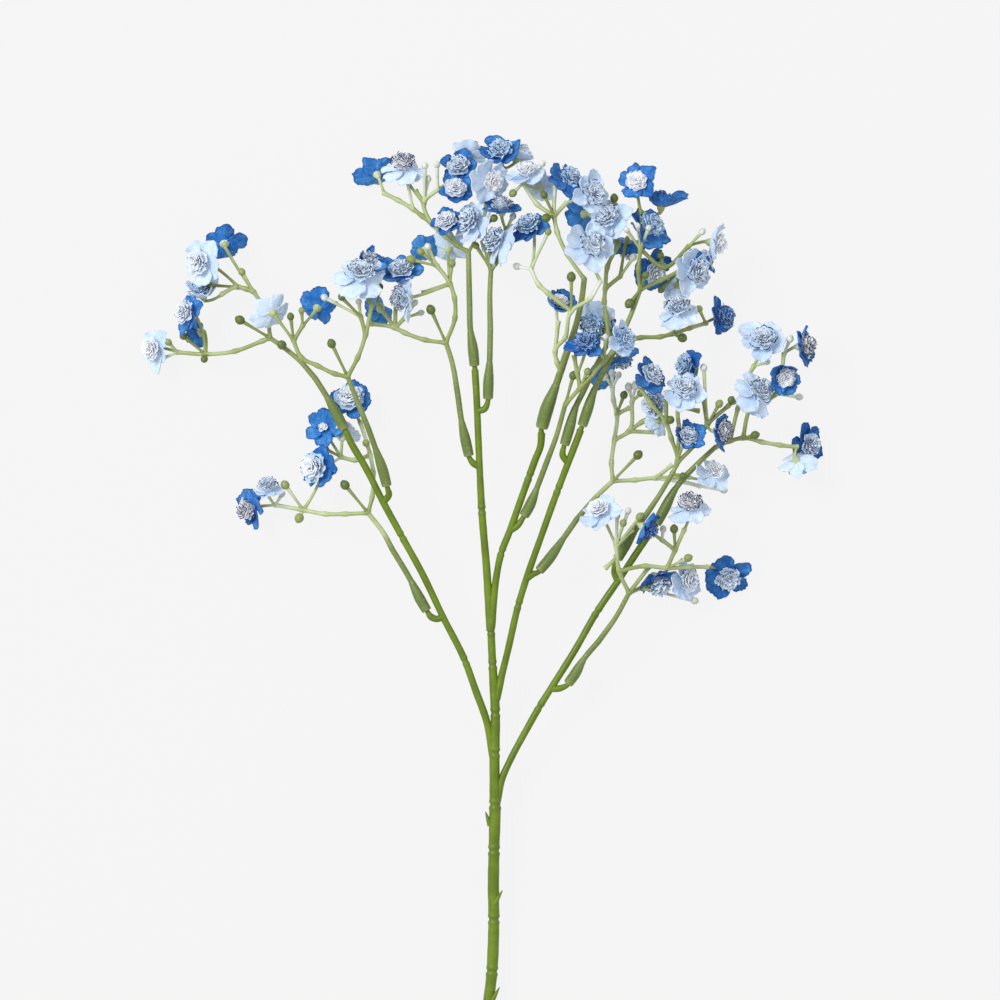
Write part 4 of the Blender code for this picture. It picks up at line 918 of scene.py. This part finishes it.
def petal_point(petal, across, reach, curl, meets, shape):
    """Where a point of a petal of length 1 is. Across goes from -1 to 1 over it."""
    swing = across * LOBE_SPREAD
    aside = swing / (FIFTH / 2)
    first, second, third, fourth = shape["phases"]
    column = round((across + 1) * ACROSS_STEPS / 2)
    # The outline: notched at its sides, leaning, pointed or dented at its tip, wavy and frayed.
    rim = shape["size"] * (1 - shape["notch"] * abs(aside) ** 2.6 + shape["lean"] * aside)
    rim *= 1 + shape["tip"] * bump_at(across, 0.28)
    rim *= 1 + 0.02 * math.sin(8 * across + first) + 0.01 * math.sin(15 * across + second)
    rim *= 1 + (shape["frayed"][column] - 1) * reach**2
    # The curl goes over to that of the neighbour towards each side.
    bent = math.radians(curl + (meets[1 if across > 0 else -1] - curl) * 0.5 * aside**2)
    radius, height = (part * rim for part in curled(reach, bent, shape["roll"]))
    height += shape["wave"] * math.sin(3.6 * across + third) * reach**3
    height += 0.6 * shape["wave"] * math.sin(9.0 * across + fourth) * reach**4
    height -= shape["crease"] * bump_at(across, 0.2) * reach * (1.15 - reach) * 2
    # One side of each petal lies over the next.
    height += 0.075 * aside * reach + shape["wrinkles"][column] * reach
    angle = petal * FIFTH + swing + shape["sway"] * reach**2
    return Vector((radius * math.cos(angle), radius * math.sin(angle), height))


def frill_sheet(name, frill, draw, sizes, spikes):
    """One frill of a rosette of radius 1: a funnel with a ruffled rim cut into uneven teeth."""
    rim, rim_height, root, root_height = frill
    segments = 2 * round(18 + 18 * rim)
    piece = ring_sheet(name, segments, FRILL_RINGS)
    lobes = draw.randint(5, 7) if rim > 0.6 else draw.randint(3, 4)
    phases = [draw.uniform(0, math.tau) for wave in range(5)]
    teeth = [draw.choice((-1.0, -0.4, 0.3, 0.8)) + draw.uniform(-0.3, 0.3) for tooth in range(segments // 2)]
    tooth_depth, ruffle = spikes * sizes.tooth_depth / ROSETTE_RADIUS, sizes.ruffle / ROSETTE_RADIUS
    for corner in piece.data.vertices:
        reach, angle = corner.co.length, math.atan2(corner.co.y, corner.co.x) % math.tau
        step = round(angle / math.tau * segments) % segments
        out = max(0.0, (reach - 0.2) / 0.8)
        wave = math.sin(lobes * angle + phases[0]) + 0.45 * math.sin((2 * lobes + 1) * angle + phases[1])
        radius = root + (rim - root) * out**1.5 + 0.06 * rim * wave * out**2
        radius += teeth[step // 2] * tooth_depth * max(0.0, out - 0.6) * 2.5
        swell = math.cos(lobes * angle + phases[2]) + 0.5 * math.sin(2 * lobes * angle + phases[3])
        lean = 0.08 * math.cos(angle + phases[4]) * out
        height = root_height + (rim_height - root_height) * out**0.65 + lean + ruffle * swell * out**2
        corner.co = (radius * math.cos(angle), radius * math.sin(angle), height)
    return piece


def rosette(name, plans, draw, sizes, finish, spikes=1.0):
    """A ruffled rose of frills, one in another. Where its spikes are over 1, the cut teeth are longer."""
    frills = []
    for index, plan in enumerate(plans):
        piece = frill_sheet(f"{name}_{index}", plan, draw, sizes, spikes)
        piece.data.transform(Matrix.Scale(ROSETTE_RADIUS, 4))
        frills.append(close_sheet(piece, sizes.frill_thickness, finish))
    return joined(name, frills)


def ball_bud(finish):
    """A ball of radius 1 mm with a short blunt tip and five soft ridges, its foot towards -Z."""
    bpy.ops.object.select_all(action="DESELECT")
    bpy.ops.mesh.primitive_uv_sphere_add(segments=BUD_SEGMENTS, ring_count=BUD_RINGS, radius=MM)
    piece = bpy.context.active_object
    for corner in piece.data.vertices:
        height = corner.co.z / MM
        if height > 0.9:
            corner.co.z += 0.1 * MM
        corner.co.z *= 1.06
        ridge = 1 + 0.03 * math.cos(5 * math.atan2(corner.co.y, corner.co.x)) * (1 - height**2)
        corner.co.x *= ridge
        corner.co.y *= ridge
    bpy.ops.object.shade_smooth()
    wear(piece, finish)
    return piece


def per_size(millimetres):
    """The scale of a pattern on Object coordinates, whose features are then this wide."""
    return 1000.0 / millimetres


def shade(colour, factor):
    """The colour made darker, or lighter where factor is over 1."""
    return tuple(min(1.0, part * factor) for part in colour)


def fill_inputs(tree, node, inputs):
    """Sets each input of the node, or links it where the value is another node's output."""
    for name, value in inputs.items():
        socket = node.inputs[name]
        if isinstance(value, bpy.types.NodeSocket):
            tree.links.new(value, socket)
        else:
            socket.default_value = (*value, 1.0) if socket.type == "RGBA" else value


def add_node(tree, kind, inputs=None, output=0, stops=(), **settings):
    """Adds a node of this kind with its settings, inputs and the stops of its ramp, and gives its output."""
    node = tree.nodes.new("ShaderNode" + kind)
    for name, value in settings.items():
        setattr(node, name, value)
    fill_inputs(tree, node, inputs or {})
    for index, (spot, tint) in enumerate(stops):
        stop = node.color_ramp.elements[index] if index < 2 else node.color_ramp.elements.new(spot)
        stop.position, stop.color = spot, (*tint, 1.0)
    return node.outputs[output]


def mottle(tree, where, millimetres, low, high, most=1.0, detail=3.0):
    """A cloudy pattern from 0 to most whose clouds are this wide, sharper as low and high come together."""
    clouds = add_node(tree, "TexNoise", {"Vector": where, "Scale": per_size(millimetres), "Detail": detail})
    spread = {"Value": clouds, "From Min": low, "From Max": high, "To Max": most}
    return add_node(tree, "MapRange", spread, interpolation_type="SMOOTHSTEP")


def layered(tree, tint, *layers):
    """The colour with each layer laid over it in turn. A layer is its share and its colour."""
    for amount, layer in layers:
        tint = add_node(tree, "Mix", {0: amount, 6: tint, 7: layer}, 2, data_type="RGBA")
    return tint


def new_finish(name, shown):
    """A material, its node tree and its Object coordinates. Shown is its colour in the viewport."""
    finish = bpy.data.materials.new(name)
    finish.use_nodes = True
    finish.diffuse_color = (*shown, 1.0)
    return finish, finish.node_tree, add_node(finish.node_tree, "TexCoord", output="Object")


def set_surface(tree, inputs, relief=None, strength=0.0, millimetres=0.0):
    """Sets the shader, and presses the relief this deep into the surface."""
    if relief is not None:
        pressed = {"Height": relief, "Strength": strength, "Distance": millimetres * MM}
        inputs = {**inputs, "Normal": add_node(tree, "Bump", pressed)}
    fill_inputs(tree, tree.nodes["Principled BSDF"], inputs)


def trunk_finish(colours):
    """Injection-moulded polyethylene in leaf green: a soft waxy gloss and faint cloudy mottling from the
    melt, with painted shade, a darker green, in the grooves of its joints."""
    finish, tree, where = new_finish("moulded_polyethylene_trunk", colours.trunk)
    clouds = mottle(tree, where, 9.0, 0.35, 0.68)
    # Painted shade: near a joint's groove a darker green is laid over the trunk, standing in for the shade
    # that falls in the groove.
    groove = add_node(tree, "Attribute", output="Fac", attribute_name="fade")
    groove = add_node(tree, "Math", {0: groove, 1: 0.42}, operation="MULTIPLY")
    tint = layered(
        tree, shade(colours.trunk, 0.86), (clouds, shade(colours.trunk, 1.16)),
        (mottle(tree, where, 0.9, 0.6, 0.75, 0.16), linear("#A9BE7C")), (groove, linear("#56702A")),
    )
    gloss = add_node(tree, "MapRange", {"Value": clouds, "To Min": 0.36, "To Max": 0.54})
    grain = add_node(tree, "TexNoise", {"Vector": where, "Scale": per_size(1.4), "Detail": 2.0})
    look = {"Base Color": tint, "Roughness": gloss, "IOR": PLASTIC_IOR, "Specular IOR Level": 0.3}
    set_surface(tree, look, grain, 0.35, 0.08)
    return finish


def spray_finish(colours):
    """Injection-moulded polyethylene of the sprays: bluish green and mottled on the thick sleeve, yellow
    green on the stems, and faded towards cream at the ends of the twigs, where the mould ran thin."""
    finish, tree, where = new_finish("moulded_polyethylene_spray", colours.twig)
    fade = add_node(tree, "Attribute", output="Fac", attribute_name="fade")
    faded = {0: fade, 1: mottle(tree, where, 11.0, 0.35, 0.65, 0.14)}
    faded = add_node(tree, "Math", faded, operation="ADD", use_clamp=True)
    stops = (
        (0.0, shade(colours.sleeve, 0.92)), (0.14, colours.sleeve), (0.36, colours.stem),
        (0.58, colours.twig), (0.8, linear("#B2BE8C")), (1.0, colours.cream),
    )
    tint = add_node(tree, "ValToRGB", {"Fac": faded}, stops=stops)
    tint = layered(tree, tint, (mottle(tree, where, 0.8, 0.56, 0.74, 0.2), linear("#C9D8BC")))
    grain = add_node(tree, "TexNoise", {"Vector": where, "Scale": per_size(1.1), "Detail": 2.0})
    look = {"Base Color": tint, "Roughness": 0.44, "IOR": PLASTIC_IOR, "Specular IOR Level": 0.3}
    set_surface(tree, look, grain, 0.3, 0.07)
    return finish


def bud_finish(colours):
    """Moulded polyethylene balls: olive with a small soft highlight, some of them faded to cream."""
    finish, tree, where = new_finish("moulded_polyethylene_bud", colours.bud)
    fade = add_node(tree, "Attribute", output="Fac", attribute_name="fade")
    clouds = mottle(tree, where, 1.6, 0.35, 0.65)
    dimmed = add_node(tree, "Math", {0: clouds, 1: 0.25}, operation="MULTIPLY")
    stops = ((0.0, colours.bud), (0.5, colours.twig), (1.0, colours.cream))
    tint = layered(tree, add_node(tree, "ValToRGB", {"Fac": fade}, stops=stops), (dimmed, linear("#4A5A26")))
    look = {"Base Color": tint, "Roughness": 0.4, "IOR": PLASTIC_IOR, "Specular IOR Level": 0.35}
    set_surface(tree, look, clouds, 0.3, 0.06)
    return finish


def petal_finish(name, base, deep, light, dyed_rim):
    """Dip-dyed woven polyester, die-cut and heat-pressed: fine fibres run from the middle to the rim, the dye
    lies in soft uneven pools, and the cut rim holds a little more of it."""
    finish, tree, where = new_finish(name, base)
    over = add_node(tree, "TexCoord", output="UV")
    spread = add_node(tree, "Mapping", {"Vector": over, "Scale": (34.0, 2.2, 1.0)})
    fibres = add_node(tree, "TexNoise", {"Vector": spread, "Scale": 1.0, "Detail": 3.0})
    streaks = {"Value": fibres, "From Min": 0.38, "From Max": 0.64, "To Max": 0.5}
    small = mottle(tree, where, 3.2, 0.36, 0.66, 0.55)
    large = mottle(tree, where, 26.0, 0.38, 0.62, 0.45, 1.0)
    pools = add_node(tree, "Math", {0: small, 1: large}, operation="ADD")
    reach = add_node(tree, "SeparateXYZ", {"Vector": over}, "Y")
    rim = {"Value": reach, "From Min": 0.88, "From Max": 0.99, "To Max": dyed_rim}
    tint = layered(
        tree, base, (pools, light), (add_node(tree, "MapRange", streaks), deep),
        (add_node(tree, "MapRange", rim), shade(deep, 0.8)),
    )
    # The weave is 0.15 mm from thread to thread. It is drawn at 0.5 mm, so that it shows.
    weave = add_node(tree, "TexNoise", {"Vector": where, "Scale": per_size(0.5), "Detail": 1.0})
    relief = add_node(tree, "Math", {0: fibres, 1: 1.6, 2: weave}, operation="MULTIPLY_ADD")
    look = {
        "Base Color": tint, "Roughness": 0.72, "Specular IOR Level": 0.3, "Subsurface Weight": 0.3,
        "Subsurface Radius": (1.0, 1.0, 1.0), "Subsurface Scale": 0.8 * MM, "Sheen Weight": 0.18,
        "Sheen Roughness": 0.4,
    }
    set_surface(tree, look, relief, 0.5, 0.09)
    return finish


def frill_finish(colours):
    """Thin undyed polyester cut into teeth, tinted blue on some blooms. Its cut rim has soaked up navy dye,
    in clumps here and as a faint grey blue line there."""
    finish, tree, where = new_finish("cut_polyester_frill", colours.frill)
    dye, sky, deep = (add_node(tree, "Attribute", output="Fac", attribute_name=name)
                      for name in ("dye", "sky", "deep"))
    clouds = mottle(tree, where, 2.6, 0.4, 0.7)
    white = layered(tree, colours.frill, (clouds, linear("#E6E6F0")))
    tinted = layered(tree, colours.sky, (clouds, linear("#B9D6F0")))
    sky = add_node(tree, "Math", {0: sky, 1: 0.9}, operation="MULTIPLY")
    tint = layered(tree, white, (sky, tinted), (deep, colours.royal))
    reach = add_node(tree, "SeparateXYZ", {"Vector": add_node(tree, "TexCoord", output="UV")}, "Y")
    rim = add_node(tree, "MapRange", {"Value": reach, "From Min": 0.84, "From Max": 0.98})
    rim = add_node(tree, "Math", {0: rim, 1: 1.6}, operation="POWER")
    clumps = mottle(tree, where, 1.5, 0.46, 0.57, 0.7, 2.0)
    lines = mottle(tree, where, 4.5, 0.42, 0.58, 0.35, 1.0)
    soaked = add_node(tree, "Math", {0: clumps, 1: lines}, operation="ADD")
    soaked = add_node(tree, "Math", {0: soaked, 1: dye}, operation="ADD")
    soaked = add_node(tree, "Math", {0: soaked, 1: rim}, operation="MULTIPLY", use_clamp=True)
    stops = (
        (0.4, (1.0, 1.0, 1.0)), (0.5, linear("#B0C2E2")), (0.57, linear("#4A5F92")), (0.64, colours.navy),
    )
    wet = {0: 1.0, 6: tint, 7: add_node(tree, "ValToRGB", {"Fac": soaked}, stops=stops)}
    tint = add_node(tree, "Mix", wet, 2, data_type="RGBA", blend_type="MULTIPLY")
    look = {
        "Base Color": tint, "Roughness": 0.7, "Specular IOR Level": 0.3, "Subsurface Weight": 0.85,
        "Subsurface Radius": (1.0, 1.0, 1.0), "Subsurface Scale": 1.0 * MM, "Sheen Weight": 0.12,
    }
    grain = add_node(tree, "TexNoise", {"Vector": where, "Scale": per_size(0.5), "Detail": 1.0})
    set_surface(tree, look, grain, 0.4, 0.06)
    return finish


def wire_finish():
    """Bright drawn steel wire: fine lines along it and a dull grey skin between them."""
    finish, tree, where = new_finish("drawn_steel_wire", linear("#9C9C9A"))
    along = add_node(tree, "Mapping", {"Vector": where, "Scale": (1.0, 0.04, 1.0)})
    lines = add_node(tree, "TexNoise", {"Vector": along, "Scale": per_size(0.12), "Detail": 2.0})
    gloss = add_node(tree, "MapRange", {"Value": lines, "To Min": 0.28, "To Max": 0.48})
    tint = layered(tree, linear("#84847F"), (lines, linear("#B4B4B0")))
    set_surface(tree, {"Base Color": tint, "Roughness": gloss, "Metallic": 1.0})
    return finish


def table_finish(colours):
    """Opal acrylic of a light table: matt and white, lit from inside, so that shadows on it stay faint."""
    white = colours.table
    finish, tree, where = new_finish("opal_acrylic_light_table", white)
    cloudy = (mottle(tree, where, 180.0, 0.3, 0.7), shade(white, 0.985 * TABLE_MATT))
    look = {
        "Base Color": layered(tree, shade(white, TABLE_MATT), cloudy), "Roughness": 0.9,
        "Specular IOR Level": 0.1, "Emission Color": white, "Emission Strength": TABLE_GLOW,
    }
    set_surface(tree, look)
    return finish


class GYPSOPHILA_OT_trunk(bpy.types.Operator):
    """Models the moulded trunk with its branches, the arms that carry the sprays and the small leaf scars"""

    bl_idname = "gypsophila.trunk"
    bl_label = "Moulded trunk"

    def execute(self, context):
        sizes = context.scene.gypsophila_sizes
        finish = trunk_finish(context.scene.gypsophila_colours)
        trunk = make_tubes("trunk", [branch_run(TRUNK, sizes)], TRUNK_RESOLUTION, finish)
        end = place(TRUNK[0])
        sink_end(trunk, end, (end - place(TRUNK[1])).normalized(), BORE_RADIUS, BORE_DEPTH)
        runs = [branch_run(branch, sizes, 0.3) for branch in BRANCHES]
        runs += [peg_run(plan) for plan in SPRAYS.values()]
        runs += [spur_run(root, tip) for root, tip in SPURS]
        branches = make_tubes("branches", runs, BRANCH_RESOLUTION, finish)
        piece = joined("moulded_trunk", [trunk, branches])
        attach(piece, "root")
        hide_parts("main_stem")
        return {"FINISHED"}


class GYPSOPHILA_OT_wire(bpy.types.Operator):
    """Gives the core wire, which keeps its own solid, its drawn steel finish"""

    bl_idname = "gypsophila.wire"
    bl_label = "Core wire"

    def execute(self, context):
        wear(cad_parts["core_wire"], wire_finish())
        return {"FINISHED"}


class GYPSOPHILA_OT_sprays(bpy.types.Operator):
    """Models the plastic of each spray: its sleeve, stem, twigs, ball buds and the cups of its blooms"""

    bl_idname = "gypsophila.sprays"
    bl_label = "Moulded sprays"

    def execute(self, context):
        colours = context.scene.gypsophila_colours
        plastic, ball = spray_finish(colours), ball_bud(bud_finish(colours))
        for name, plan in SPRAYS.items():
            self.make_spray(name, plan, plastic, ball)
        bpy.data.objects.remove(ball)
        return {"FINISHED"}

    def make_spray(self, name, plan, plastic, ball):
        tone, pale = plan["tones"][1:]
        runs = [sleeve_run(name, plan)] + [twig_run(plan, twig, tone, pale) for twig in plan["twigs"]]
        buds = []
        for fork, where, radius, fade in plan["buds"]:
            root, middle, radius = place(plan["forks"][fork]), place(where), radius * MM
            ahead = (middle - root).normalized()
            faded = tone + (DARK_STALK, 0.5 * pale, 0.2 + 0.5 * pale)[round(2 * fade)]
            runs.append(stalk_run(root, middle - ahead * 0.9 * radius, middle, BUD_COLLAR, faded))
            bud = copy_of(ball)
            bud.data.transform(Matrix.Translation(middle) @ ahead.to_track_quat("Z", "Y").to_matrix().to_4x4()
                               @ Matrix.Scale(radius / MM, 4))
            fill_attribute(bud.data, "fade", fade)
            buds.append(bud)
        for bloom, middle in zip(plan["blooms"], BLOOM_PLACES[name]):
            kind, fork, where, radius, azimuth, tilt, look, style = bloom
            ahead = facing(azimuth, tilt)
            base = middle - ahead * CALYX_LENGTH
            runs.append(stalk_run(place(plan["forks"][fork]), base, middle, CALYX_COLLAR, tone + 0.5 * pale))
            petals_at = middle - ahead * (0.1 + 0.6 * PRESSINGS[style][0]) * MM
            runs.append(calyx_run(base, petals_at, tone + 0.1 + 0.4 * pale))
        tubes = make_tubes(name + "_tubes", runs, SPRAY_RESOLUTION, plastic)
        mouth = place(plan["sleeve"][0])
        sink_end(tubes, mouth, (mouth - place(plan["sleeve"][1])).normalized(), MOUTH_RADIUS, MOUTH_DEPTH)
        piece = joined(name + "_plastic", [tubes] + buds)
        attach(piece, "root")
        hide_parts(name)


class GYPSOPHILA_OT_blooms(bpy.types.Operator):
    """Models the pressed petals and the ruffled rosettes, and sets a bloom at the end of each pedicel"""

    bl_idname = "gypsophila.blooms"
    bl_label = "Fabric blooms"

    def execute(self, context):
        sizes, colours = context.scene.gypsophila_sizes, context.scene.gypsophila_colours
        royal = petal_finish("dyed_polyester_royal", colours.royal, linear("#083C80"), linear("#4E9ADC"), 0.7)
        pale = petal_finish("dyed_polyester_pale", colours.pale, linear("#AEC8E6"), linear("#D8E3F2"), 0.25)
        self.cloths = {"royal": royal, "bare": royal, "pale": pale}
        self.petal_thickness = sizes.petal_thickness
        frill = frill_finish(colours)
        draw = random.Random("cloth")
        self.sheets = {
            style: [petal_sheet(f"petals_{style}_{index}", curls, draw) for index in range(SHEETS_EACH)]
            for style, (raised, curls) in PRESSINGS.items()
        }
        self.roses = [rosette(f"rosette_{index}", FRILLS, draw, sizes, frill, spikes)
                      for index, spikes in enumerate(ROSE_SPIKES)]
        self.tuft = rosette("star", TUFT_FRILLS, random.Random("star"), sizes, frill)
        for name, plan in SPRAYS.items():
            draw, pieces, BLOOM_PLACES[name] = random.Random(name + " cloth"), [], []
            for bloom, roll in zip(plan["blooms"], bloom_rolls(name, plan)):
                parts, middle = self.make_bloom(bloom, roll, draw)
                pieces += parts
                BLOOM_PLACES[name].append(middle)
            piece = joined(name + "_blooms", pieces)
            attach(piece, "root")
            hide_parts(name)
        for pattern in sum(self.sheets.values(), self.roses + [self.tuft]):
            bpy.data.objects.remove(pattern)
        return {"FINISHED"}

    def make_bloom(self, bloom, roll, draw):
        """The petals and the rosette of one bloom, in their place, and its middle."""
        kind, fork, where, radius, azimuth, tilt, look, style = bloom
        raised = PRESSINGS[style][0] * MM
        petals = copy_of(draw.choice(self.sheets[style]))
        petals.data.transform(Matrix.Translation((0, 0, -0.6 * raised)) @ Matrix.Scale(radius, 4))
        close_sheet(petals, self.petal_thickness, self.cloths[kind])
        *tint, spikes, reach = LOOKS[look]
        if kind == "bare":
            rose, reach = copy_of(self.tuft), ROSETTE_RADIUS
        else:
            fitting = [rose for rose, kept in zip(self.roses, ROSE_SPIKES) if kept == spikes]
            rose = copy_of(draw.choice(fitting))
            reach = (reach + ROSETTE_GROWTH * (radius - PLAIN_RADIUS)) * MM
        rose.data.transform(Matrix.Scale(reach / ROSETTE_RADIUS, 4))
        self.tint_rose(rose.data, tint, reach)
        rose.data.transform(Matrix.Translation((0, 0, 0.2 * MM + 0.4 * raised)))
        for part in (petals, rose):
            part.data.transform(bloom_turn(azimuth, tilt, roll))
        # A bloom that would dip into the table is lifted until it lies on it.
        middle = place((where[0], where[1], where[2] or 0.0))
        low = min(corner.co.z for part in (petals, rose) for corner in part.data.vertices)
        low = min(low, -0.7 * MM - CALYX_LENGTH * facing(azimuth, tilt).z)
        if where[2] is None or middle.z + low < 0:
            middle.z = -low
        for part in (petals, rose):
            part.data.transform(Matrix.Translation(middle))
        return [petals, rose], middle

    def tint_rose(self, mesh, tint, reach):
        """Writes how much dye and blue each corner holds. The blue changes towards the outermost frills."""
        dye, middle, outermost, deep = tint
        outwards = [math.hypot(corner.co.x, corner.co.y) / reach * 4 - 2.4 for corner in mesh.vertices]
        outwards = [min(1.0, max(0.0, out)) for out in outwards]
        fill_attribute(mesh, "dye", dye)
        fill_attribute(mesh, "sky", [middle + (outermost - middle) * out for out in outwards])
        fill_attribute(mesh, "deep", deep)


class GYPSOPHILA_OT_stage(bpy.types.Operator):
    """Adds the pale table, the soft lights and the camera that looks straight down"""

    bl_idname = "gypsophila.stage"
    bl_label = "Table, lights and camera"

    def execute(self, context):
        bpy.ops.object.select_all(action="DESELECT")
        bpy.ops.mesh.primitive_plane_add(size=TABLE_SIZE, location=(0.0, 0.0, 0.0))
        table = context.active_object
        table.name = "table"
        wear(table, table_finish(context.scene.gypsophila_colours))
        world = bpy.data.worlds.new("soft_daylight")
        world.use_nodes = True
        daylight = {"Color": (1.0, 1.0, 1.0), "Strength": AMBIENT}
        fill_inputs(world.node_tree, world.node_tree.nodes["Background"], daylight)
        context.scene.world = world
        for spot, size, power in SOFTBOXES:
            bpy.ops.object.light_add(type="AREA", location=spot)
            lamp = context.active_object
            lamp.data.shape = "DISK"
            lamp.data.size = size
            lamp.data.energy = power
            lamp.rotation_euler = (Vector((0, 0.05, 0)) - Vector(spot)).to_track_quat("-Z", "Y").to_euler()
        centre = place((*PHOTO_CENTRE_PX, 0))
        bpy.ops.object.camera_add(location=(centre.x, centre.y, CAMERA_HEIGHT), rotation=(0.0, 0.0, 0.0))
        camera = context.active_object
        camera.data.sensor_width = SENSOR_WIDTH_MM
        camera.data.lens = SENSOR_WIDTH_MM * (CAMERA_HEIGHT - MIDDLE_HEIGHT) / (PHOTO_WIDTH_PX * PIXEL)
        camera.data.clip_end = FARTHEST
        context.scene.camera = camera
        context.scene.view_settings.view_transform = "Standard"
        return {"FINISHED"}


class GYPSOPHILA_PT_panel(bpy.types.Panel):
    """Lists the steps that make the stem, and the sizes and colours that they use"""

    bl_label = "Artificial Gypsophila Stem"
    bl_idname = "GYPSOPHILA_PT_panel"
    bl_space_type = "VIEW_3D"
    bl_region_type = "UI"
    bl_category = "Gypsophila"

    def draw(self, context):
        for group in (context.scene.gypsophila_sizes, context.scene.gypsophila_colours):
            box = self.layout.box()
            for name in group.__annotations__:
                box.prop(group, name)
        for step in STEPS:
            self.layout.operator(step.bl_idname)


STEPS = (
    GYPSOPHILA_OT_blooms, GYPSOPHILA_OT_sprays, GYPSOPHILA_OT_trunk, GYPSOPHILA_OT_wire, GYPSOPHILA_OT_stage,
)
CLASSES = (StemSizes, StemColours) + STEPS + (GYPSOPHILA_PT_panel,)


def register():
    for kind in CLASSES:
        bpy.utils.register_class(kind)
    bpy.types.Scene.gypsophila_sizes = bpy.props.PointerProperty(type=StemSizes)
    bpy.types.Scene.gypsophila_colours = bpy.props.PointerProperty(type=StemColours)


def unregister():
    del bpy.types.Scene.gypsophila_colours
    del bpy.types.Scene.gypsophila_sizes
    for kind in reversed(CLASSES):
        bpy.utils.unregister_class(kind)


def main():
    register()
    bpy.ops.object.select_all(action="DESELECT")
    bpy.ops.gypsophila.blooms()
    bpy.ops.gypsophila.sprays()
    bpy.ops.gypsophila.trunk()
    bpy.ops.gypsophila.wire()
    bpy.ops.gypsophila.stage()


if __name__ == "__main__":
    main()
